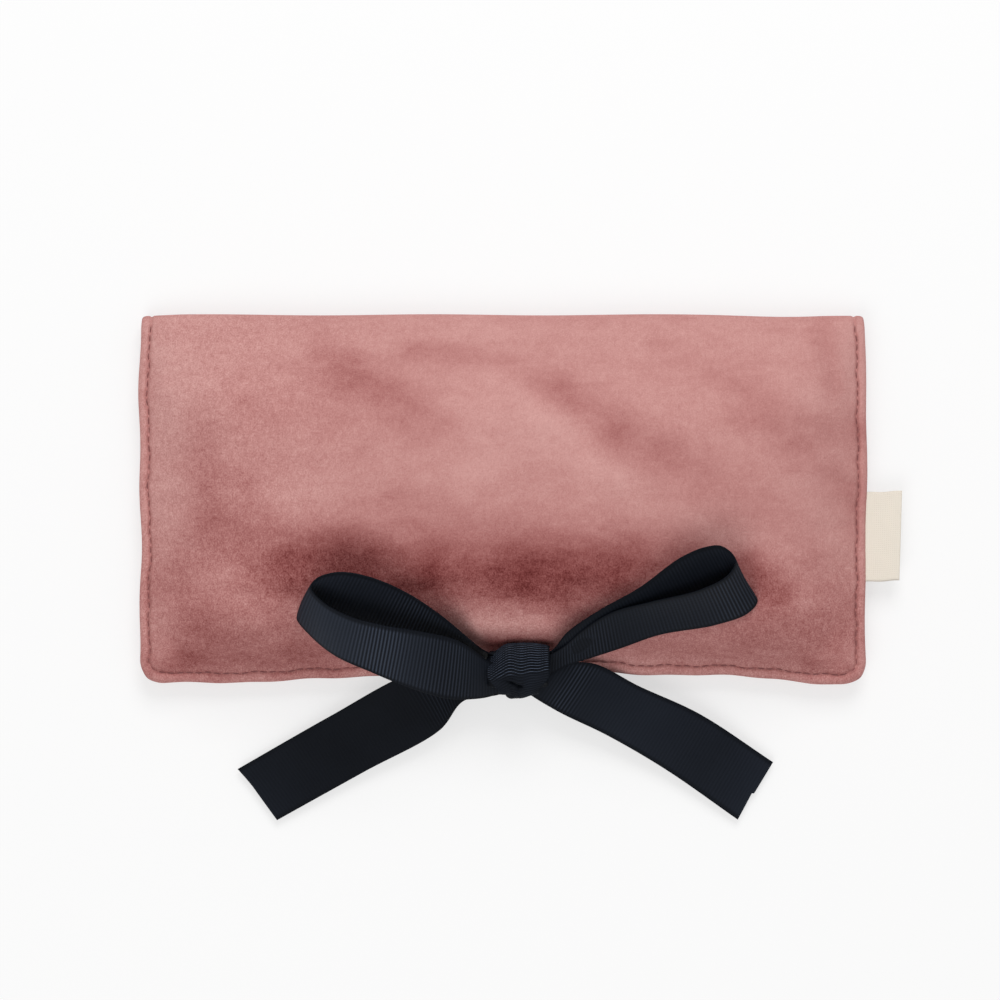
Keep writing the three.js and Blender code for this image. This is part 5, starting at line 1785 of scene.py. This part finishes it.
def build_pull(prefix, x, zip_y, facing):
    low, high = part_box(f"{prefix}_zip_pull")
    root, tip = 0.5 * MM, (high.y - low.y) / 2
    reach = high.x - low.x - root
    end = reach - tip
    neck = 1.75 * MM
    edge = [(-root, -tip + 0.35 * MM), (-root + 0.35 * MM, -tip), (3.6 * MM, -tip), (5.2 * MM, -neck - 0.3 * MM)]
    outline = edge + arc_points(end, 0, tip, 19) + [(a, -b) for a, b in reversed(edge)]
    eye_long, eye_half = 3.7 * MM, 1.3 * MM
    eye = [
        (root, -eye_half + 0.3 * MM), (root, eye_half - 0.3 * MM), (root + 0.3 * MM, eye_half),
        (root + eye_long - 0.3 * MM, eye_half), (root + eye_long, eye_half - 0.3 * MM),
        (root + eye_long, -eye_half + 0.3 * MM), (root + eye_long - 0.3 * MM, -eye_half), (root + 0.3 * MM, -eye_half),
    ]
    hole = arc_points(end, 0, 1.1 * MM, 25, 0, -2 * math.pi)[:-1]
    shell = plate_shell([outline, eye, hole], low.z, high.z, 0.22 * MM)
    shell = turned_about(shell, x, zip_y, facing)
    metal_piece(f"{prefix}_pull", [shell], 42, f"{prefix}_pull", f"{prefix}_zip_pull")


def build_slip_pocket():
    low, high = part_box("slip_pocket_panel")
    casing_low, casing_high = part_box("slip_pocket_elastic")
    half = high.x

    def gathers(x, y):
        near = bell(y - casing_high.y, 9 * MM)
        return 0.3 * MM * near * np.sin(1500 * x + 3 * np.sin(170 * x)) + 0.1 * MM * near * np.sin(700 * x)

    def face(x, y):
        return flap_under(x, y) - 1.0 * MM + gathers(x, y) * 0.8

    panel = sewn_panel(
        "slip_pocket_cloth", half, level(low.y - 0.2 * MM), level(high.y), face, 0.4 * MM, "pocket", -1, 420, 26,
    )
    fit(panel, "flap", "lining", "slip_pocket_panel")

    def casing_face(x, y):
        across = (y - casing_low.y) / (casing_high.y - casing_low.y)
        belly = 0.35 * MM * np.sin(np.pi * np.clip(across, 0, 1))
        waves = 0.22 * MM * np.sin(1500 * x + 3 * np.sin(170 * x) + 2.5 * across)
        return flap_under(x, y) - 1.35 * MM - belly + waves

    casing = sewn_panel(
        "elastic_casing", half, level(casing_low.y), level(casing_high.y), casing_face, 0.75 * MM, "elastic", -1,
        420, 16,
    )
    fit(casing, "flap", "elastic", "slip_pocket_elastic")
    inside, top = half - 2 * MM, high.y - 2 * MM
    lines = [np.linspace((-inside, y), (inside, y), 400) for y in (casing_low.y + MM, casing_high.y - MM)]
    paths = seam(lines, casing_face, 2.2 * MM, 0, -1)
    lines = [np.linspace((side, low.y), (side, top), 40) for side in (-inside, inside)]
    lines.append(np.linspace((-inside, top), (inside, top), 200))
    paths += seam(lines, face, 2.6 * MM, 0, -1)
    sew("slip_pocket_stitches", paths, 0.14 * MM, "flap")


def build_ring_bar():
    """The stuffed bar that rings slide on: a cloth tube, gathered at both ends, over a foam rod"""
    low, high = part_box("ring_bar_cover")
    y0, z0 = (low.y + high.y) / 2, (low.z + high.z) / 2
    radius = (high.y - low.y) / 2
    around = 72
    gather = 2.4 * MM
    x = np.concatenate([
        low.x + radius * (1 - np.cos(np.linspace(0.08, math.pi / 2, 10))),
        np.linspace(low.x + radius, high.x - gather, 180)[1:-1],
        high.x - gather * (1 - np.sin(np.linspace(0, math.pi / 2 - 0.3, 8))),
    ])
    left = np.sqrt(np.clip(1 - np.clip(1 - (x - low.x) / radius, 0, 1) ** 2, 0, 1))
    right = np.clip(1 - (high.x - x) / gather, 0, 1)
    reach = np.minimum(left, 1 - 0.55 * right**2.2)[:, None]
    angle = np.arange(around) * 2 * np.pi / around
    a, u = np.meshgrid(angle, x)
    body = smooth(np.minimum(u - low.x, high.x - u) / (9 * MM))
    wrinkle = 0.07 * MM * np.sin(620 * u + 2 * np.sin(a)) * np.sin(2 * a + 90 * u)
    wrinkle += 0.05 * MM * np.sin(1300 * u + 3 * np.cos(2 * a))
    pleats = 0.16 * MM * np.cos(11 * a) * (1 - body)
    seam_ridge = 0.2 * MM * bell(np.angle(np.exp(1j * (a - 0.35))), 0.07)
    r = (radius - 0.12 * MM) * reach + (wrinkle * body + pleats * reach + seam_ridge * reach)
    points = grid(u, y0 + r * np.cos(a), z0 + r * np.sin(a))
    cover = merged_shells("ring_bar_cloth", [capped_tube(points)], finish_of("pocket"))
    flat = np.stack([u, a * radius], axis=2).reshape(-1, 2)
    add_flat_map(cover, np.concatenate([flat, np.zeros((2, 2))]))
    fit(cover, "ring_bar", "lining", "ring_bar_cover")
    line = np.linspace(low.x + 4 * MM, high.x - 3 * MM, 300)
    r = radius + 0.04 * MM - np.array([0.16, 0.02, 0, 0.02, 0.16]) * MM
    paths = []
    for run in stitch_runs(np.column_stack([line, 0 * line]), 2.4 * MM, 0.24):
        for turn in (0.46, 0.24):
            paths.append(np.column_stack([run[:, 0], y0 + r * math.cos(turn), z0 + r * math.sin(turn)]))
    sew("ring_bar_stitches", paths, 0.12 * MM, "ring_bar")
    core_low, core_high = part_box("ring_bar_core")
    core_radius = (core_high.y - core_low.y) / 2
    length = core_high.x - core_low.x
    end = [(0, 0), (core_radius - 0.5 * MM, 0), (core_radius - 0.15 * MM, 0.15 * MM), (core_radius, 0.5 * MM)]
    side = [(core_radius, h) for h in np.linspace(0.05, 0.95, 12) * length]
    points, faces = turned_shell(end + side + [(r, length - h) for r, h in reversed(end)], (0, 0, 0), 40)
    points = np.column_stack([core_low.x + points[:, 2], y0 + points[:, 0], z0 + points[:, 1]])
    core = new_object("ring_bar_foam", points, faces, finish_of("foam"))
    fit(core, "ring_bar", "foam", "ring_bar_core")


def build_tabs():
    """The bar's sewn tab and its snap tab, each two layers of lining cloth"""
    low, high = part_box("ring_bar_base_tab")

    def face(x, y):
        return flap_under(x, y) - 1.15 * MM - 0.1 * MM * np.sin(380 * x)

    x, y = np.meshgrid(rim_lines(low.x, high.x, 26), rim_lines(low.y, high.y, 18))
    edge = np.minimum(np.minimum(x - low.x, high.x - x), np.minimum(y - low.y, high.y - y))
    points = grid(x, y, face(x, y) + rounded_drop(edge, 0.4 * MM))
    base = cloth_slab("base_tab_cloth", points, 0.8 * MM, finish_of("pocket"), measured_flat(points), outward=-1)
    fit(base, "flap", "lining", "ring_bar_base_tab")
    x0, x1, y0, y1 = low.x + 1.3 * MM, high.x - 4.5 * MM, low.y + 1.3 * MM, high.y - 1.3 * MM
    corners = [(x0, y0), (x1, y0), (x1, y1), (x0, y1), (x0, y0)]
    ends = [*zip(corners, corners[1:]), ((x0, y0), (x1, y1)), ((x0, y1), (x1, y0))]
    lines = [np.linspace(first, last, 20) for first, last in ends]
    sew("base_tab_stitches", seam(lines, face, 1.7 * MM, 0, -1), 0.13 * MM, "flap")

    low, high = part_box("ring_bar_snap_tab")
    middle = (low.y + high.y) / 2
    tip = (high.y - low.y) / 2
    root = 2.75 * MM
    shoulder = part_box("ring_bar_cover")[1].x + 0.4 * MM
    end = high.x - tip
    side = [(low.x + 0.1 * MM, root), (shoulder, root)]
    side += [(shoulder + (tip - root) * t, root + (tip - root) * t**1.4) for t in (0.3, 0.6, 0.85, 1.0)]
    outline = [(x, middle - half) for x, half in side] + arc_points(end, middle, tip, 25)
    outline += [(x, middle + half) for x, half in reversed(side)]
    tab = merged_shells("snap_tab_cloth", [plate_shell([outline], low.z, high.z, 0.36 * MM)], finish_of("pocket"))
    add_flat_map(tab, np.array([v.co[:2] for v in tab.data.vertices]))
    smooth_by_angle(tab, 60)
    fit(tab, "ring_bar", "lining", "ring_bar_snap_tab")
    sewn = tip - 0.85 * MM
    first = shoulder + 3.2 * MM
    line = [(first, middle - sewn), *arc_points(end, middle, sewn, 25), (first, middle + sewn)]
    paths = seam([line], lambda x, y: 0 * x + high.z + 0.02 * MM, 1.9 * MM, 0, 1)
    paths += seam([line], lambda x, y: 0 * x + low.z - 0.02 * MM, 1.9 * MM, 0, -1)
    sew("snap_tab_stitches", paths, 0.12 * MM, "ring_bar")


def stepped(radius, height, steps):
    """Profile points from steps in mm off a radius and a height"""
    return [(radius + out * MM, height + up * MM) for out, up in steps]


def build_snap():
    """Pressed metal snap: socket and cap on the tab, stud on the flap's lining"""
    low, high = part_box("snap_socket")
    centre = ((low.x + high.x) / 2, (low.y + high.y) / 2, 0)
    radius = (high.x - low.x) / 2
    rim = [
        (0, low.z),
        *stepped(radius, low.z, [(-0.35, 0), (-0.08, 0.12), (0, 0.35), (-0.12, 0.6), (-0.6, 0.72), (-0.95, 0.78)]),
        *stepped(radius, high.z, [(-1.15, -0.2), (-1.4, -0.04), (-1.65, 0), (-1.95, -0.04)]),
        *stepped(0, high.z, [(1.95, -0.25), (1.88, -0.5), (1.9, -0.78), (0, -0.8)]),
    ]
    metal_piece("snap_socket_metal", [turned_shell(rim, centre)], 50, "ring_bar", "snap_socket")
    low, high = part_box("snap_cap")
    radius = (high.x - low.x) / 2
    dome = [(0, low.z)]
    dome += [
        (radius * math.sin(a), high.z - 0.2 * MM - (high.z - 0.2 * MM - low.z) * math.cos(a))
        for a in np.linspace(0.12, math.pi / 2, 12)
    ]
    dome += [(radius - 0.06 * MM, high.z - 0.04 * MM), (radius - 0.25 * MM, high.z), (0, high.z)]
    metal_piece("snap_cap_metal", [turned_shell(dome, centre)], 50, "ring_bar", "snap_cap")
    low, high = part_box("snap_stud")
    radius = (high.x - low.x) / 2
    flange = high.z - 0.25 * MM
    start = flange - 0.75 * MM
    ball = [
        *stepped(0, low.z, [(0, 0), (0.9, 0.03), (1.35, 0.2), (1.6, 0.55), (1.55, 0.95), (1.3, 1.25)]),
        *stepped(0, start, [(1.3, -0.2), (1.6, -0.04)]),
        *stepped(radius, start, [(-0.8, 0), (-0.2, 0.08), (0, 0.32)]), (radius - 0.1 * MM, flange), (0, flange),
    ]
    metal_piece("snap_stud_metal", [turned_shell(ball, centre)], 50, "flap", "snap_stud")


def build_ribbon_tabs():
    """The sewn ends of the ribbon, where it leaves each cover for the knot"""
    low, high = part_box("back_ribbon_tab")
    rise = [
        (high.y - 0.3 * MM, low.z + 0.55 * MM), (1.5 * MM - HALF_DEPTH, low.z + 0.35 * MM),
        (-0.8 * MM - HALF_DEPTH, low.z + 0.7 * MM),
        (low.y + 0.75 * MM, low.z + 2.2 * MM), (low.y + 0.5 * MM, low.z + 4.6 * MM),
        (low.y + 0.7 * MM, high.z - 0.3 * MM),
    ]
    ribbon_end("back", rise, 0.08)
    low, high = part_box("flap_ribbon_tab")
    rise = [
        (high.y - 0.3 * MM, low.z + 0.4 * MM), (low.y + 0.6 * MM, low.z + 0.75 * MM),
        (low.y + 0.35 * MM, low.z + 1.5 * MM), (low.y + 0.5 * MM, high.z - 0.3 * MM),
    ]
    ribbon_end("flap", rise, 0.04)


def ribbon_end(body, rise, narrow):
    """A short end of ribbon through places y, z, a little narrower at its far end"""
    low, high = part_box(f"{body}_ribbon_tab")
    rise = np.array(rise)
    steps = running_length(rise)
    count = max(int(steps[-1] / ribbon_settings().pitch * 8), 16)
    arc = np.linspace(0, steps[-1], count)
    y, z = (averaged(np.interp(arc, steps, rise[:, axis]), 5) for axis in range(2))
    across = np.array([0, 0.02, 0.04, 0.09, 0.2, 0.35, 0.5, 0.65, 0.8, 0.91, 0.96, 0.98, 1.0])
    share = (arc / arc[-1])[:, None]
    middle, half = (low.x + high.x) / 2, (high.x - low.x) / 2
    x = middle + half * (2 * across[None] - 1) * (1 - narrow * share**2)
    ripple = 0.22 * MM * np.sin(across[None] * 11 + 1) * share
    points = grid(x, y[:, None] - ripple, z[:, None] + 0 * x)
    ribbed_slab(f"{body}_ribbon_end", f"{body}_ribbon_tab", body, points, across, arc)


# Stage


def build_stage():
    scene = bpy.context.scene
    settings = scene.roll_stage
    finish = Finish("floor", settings.floor, 0.9)
    finish.set("Specular IOR Level", 0.0)
    path = finish.node("ShaderNodeLightPath").outputs
    seen = finish.calculate("MAXIMUM", path["Is Camera Ray"], path["Is Glossy Ray"])
    seen = finish.calculate("MAXIMUM", seen, path["Is Transmission Ray"])
    paper = finish.node("ShaderNodeEmission", Color=(1, 1, 1, 1))
    shown = finish.fed(finish.times(seen, 0.6), "Fac", "ShaderNodeMixShader")
    finish.links.new(finish.shader.outputs["BSDF"], shown.inputs[1])
    finish.links.new(paper.outputs["Emission"], shown.inputs[2])
    finish.links.new(shown.outputs["Shader"], finish.nodes["Material Output"].inputs["Surface"])
    half_floor, floor_gap = 6.0, 0.05 * MM
    corners = [(x * half_floor, y * half_floor, 0) for x, y in ((-1, -1), (1, -1), (1, 1), (-1, 1))]
    floor = new_object("floor", corners, [(0, 1, 2, 3)], finish.material, False)
    floor.location.z = -floor_gap
    world = bpy.data.worlds.new("soft_sky")
    world.use_nodes = True
    sky = world.node_tree.nodes["Background"].inputs
    sky["Color"].default_value = (1, 1, 1, 1)
    sky["Strength"].default_value = settings.sky
    scene.world = world
    lamps = (
        ("key_lamp", (0.15, 1.05, 1.1), settings.key, 0.8),
        ("fill_lamp", (-0.4, -0.9, 1.3), settings.key * 0.6, 1.0),
    )
    for name, place, power, size in lamps:
        lamp = bpy.data.lights.new(name, "AREA")
        lamp.energy = power
        lamp.shape = "SQUARE"
        lamp.size = size
        holder = bpy.data.objects.new(name, lamp)
        scene.collection.objects.link(holder)
        holder.location = place
        holder.rotation_euler = (-Vector(place)).to_track_quat("-Z", "Y").to_euler()
    camera = bpy.data.cameras.new("camera")
    camera.lens = settings.lens
    camera.sensor_width = 36
    camera.clip_start = 0.01
    camera.clip_end = 20
    holder = bpy.data.objects.new("camera", camera)
    scene.collection.objects.link(holder)
    photo_centre = (-0.96 * MM, -0.3 * MM)
    holder.location = (*photo_centre, settings.distance)
    scene.camera = holder
    scene.view_settings.view_transform = "Standard"


class RollStep:
    """Shared by every operator: its step can be undone"""

    bl_options = {"REGISTER", "UNDO"}


class ROLL_OT_velvet(RollStep, bpy.types.Operator):
    """Make the velvet of both covers and the fold"""

    bl_idname = "roll.velvet"
    bl_label = "Velvet"

    def execute(self, context):
        build_velvet()
        return {"FINISHED"}


class ROLL_OT_lining(RollStep, bpy.types.Operator):
    """Make the lining of both covers and the fold"""

    bl_idname = "roll.lining"
    bl_label = "Lining"

    def execute(self, context):
        build_lining()
        return {"FINISHED"}


class ROLL_OT_topstitch(RollStep, bpy.types.Operator):
    """Sew the topstitch round both covers"""

    bl_idname = "roll.topstitch"
    bl_label = "Topstitch"

    def execute(self, context):
        build_topstitch()
        return {"FINISHED"}


class ROLL_OT_knot(RollStep, bpy.types.Operator):
    """Tie the bow's knot"""

    bl_idname = "roll.knot"
    bl_label = "Knot"

    def execute(self, context):
        build_knot()
        return {"FINISHED"}


class ROLL_OT_loops(RollStep, bpy.types.Operator):
    """Make the bow's two loops"""

    bl_idname = "roll.loops"
    bl_label = "Bow loops"

    def execute(self, context):
        build_loops()
        return {"FINISHED"}


class ROLL_OT_tails(RollStep, bpy.types.Operator):
    """Make the bow's two tails"""

    bl_idname = "roll.tails"
    bl_label = "Bow tails"

    def execute(self, context):
        build_tails()
        return {"FINISHED"}


class ROLL_OT_label(RollStep, bpy.types.Operator):
    """Make the bare tape label"""

    bl_idname = "roll.label"
    bl_label = "Label"

    def execute(self, context):
        build_label()
        return {"FINISHED"}


class ROLL_OT_wadding(RollStep, bpy.types.Operator):
    """Fill both covers with wadding"""

    bl_idname = "roll.wadding"
    bl_label = "Wadding"

    def execute(self, context):
        build_wadding()
        return {"FINISHED"}


class ROLL_OT_pockets(RollStep, bpy.types.Operator):
    """Sew the pocket panels on the back cover's lining"""

    bl_idname = "roll.pockets"
    bl_label = "Zip pockets"

    def execute(self, context):
        build_pockets()
        return {"FINISHED"}


class ROLL_OT_zips(RollStep, bpy.types.Operator):
    """Make both zips' tapes, coils and stops"""

    bl_idname = "roll.zips"
    bl_label = "Zips"

    def execute(self, context):
        build_zips()
        return {"FINISHED"}


class ROLL_OT_sliders(RollStep, bpy.types.Operator):
    """Make the zip sliders and their pulls"""

    bl_idname = "roll.sliders"
    bl_label = "Sliders and pulls"

    def execute(self, context):
        build_sliders()
        return {"FINISHED"}


class ROLL_OT_slip_pocket(RollStep, bpy.types.Operator):
    """Gather the slip pocket on the flap's lining"""

    bl_idname = "roll.slip_pocket"
    bl_label = "Slip pocket"

    def execute(self, context):
        build_slip_pocket()
        return {"FINISHED"}


class ROLL_OT_ring_bar(RollStep, bpy.types.Operator):
    """Stuff the ring bar"""

    bl_idname = "roll.ring_bar"
    bl_label = "Ring bar"

    def execute(self, context):
        build_ring_bar()
        return {"FINISHED"}


class ROLL_OT_tabs(RollStep, bpy.types.Operator):
    """Sew the ring bar's two tabs"""

    bl_idname = "roll.tabs"
    bl_label = "Tabs"

    def execute(self, context):
        build_tabs()
        return {"FINISHED"}


class ROLL_OT_snap(RollStep, bpy.types.Operator):
    """Press the snap's metal parts"""

    bl_idname = "roll.snap"
    bl_label = "Snap"

    def execute(self, context):
        build_snap()
        return {"FINISHED"}


class ROLL_OT_ribbon_tabs(RollStep, bpy.types.Operator):
    """Sew the ribbon's ends to both covers"""

    bl_idname = "roll.ribbon_tabs"
    bl_label = "Ribbon ends"

    def execute(self, context):
        build_ribbon_tabs()
        return {"FINISHED"}


class ROLL_OT_stage(RollStep, bpy.types.Operator):
    """Set the floor, lamps and camera"""

    bl_idname = "roll.stage"
    bl_label = "Stage"

    def execute(self, context):
        build_stage()
        return {"FINISHED"}


SETTINGS = (
    ("roll_velvet", VelvetSettings),
    ("roll_ribbon", RibbonSettings),
    ("roll_inside", InsideSettings),
    ("roll_label", LabelSettings),
    ("roll_stage", StageSettings),
)
OPERATORS = (
    ROLL_OT_velvet, ROLL_OT_lining, ROLL_OT_topstitch, ROLL_OT_wadding, ROLL_OT_pockets, ROLL_OT_zips,
    ROLL_OT_sliders, ROLL_OT_slip_pocket, ROLL_OT_ring_bar, ROLL_OT_tabs, ROLL_OT_snap,
    ROLL_OT_ribbon_tabs, ROLL_OT_knot, ROLL_OT_loops, ROLL_OT_tails, ROLL_OT_label, ROLL_OT_stage,
)


class ROLL_PT_panel(bpy.types.Panel):
    """Settings and build steps of the jewelry roll"""

    bl_idname = "ROLL_PT_panel"
    bl_label = "Jewelry Roll"
    bl_space_type = "VIEW_3D"
    bl_region_type = "UI"
    bl_category = "Jewelry Roll"

    def draw(self, context):
        for name, group in SETTINGS:
            box = self.layout.box()
            for key in group.__annotations__:
                box.prop(getattr(context.scene, name), key)
        for operator in OPERATORS:
            self.layout.operator(operator.bl_idname)


def register():
    for name, group in SETTINGS:
        bpy.utils.register_class(group)
        setattr(bpy.types.Scene, name, PointerProperty(type=group))
    for operator in OPERATORS:
        bpy.utils.register_class(operator)
    bpy.utils.register_class(ROLL_PT_panel)


def unregister():
    bpy.utils.unregister_class(ROLL_PT_panel)
    for operator in reversed(OPERATORS):
        bpy.utils.unregister_class(operator)
    for name, group in reversed(SETTINGS):
        delattr(bpy.types.Scene, name)
        bpy.utils.unregister_class(group)


def main():
    register()
    for operator in OPERATORS:
        name = operator.bl_idname.split(".")[1]
        getattr(bpy.ops.roll, name)()


if __name__ == "__main__":
    main()
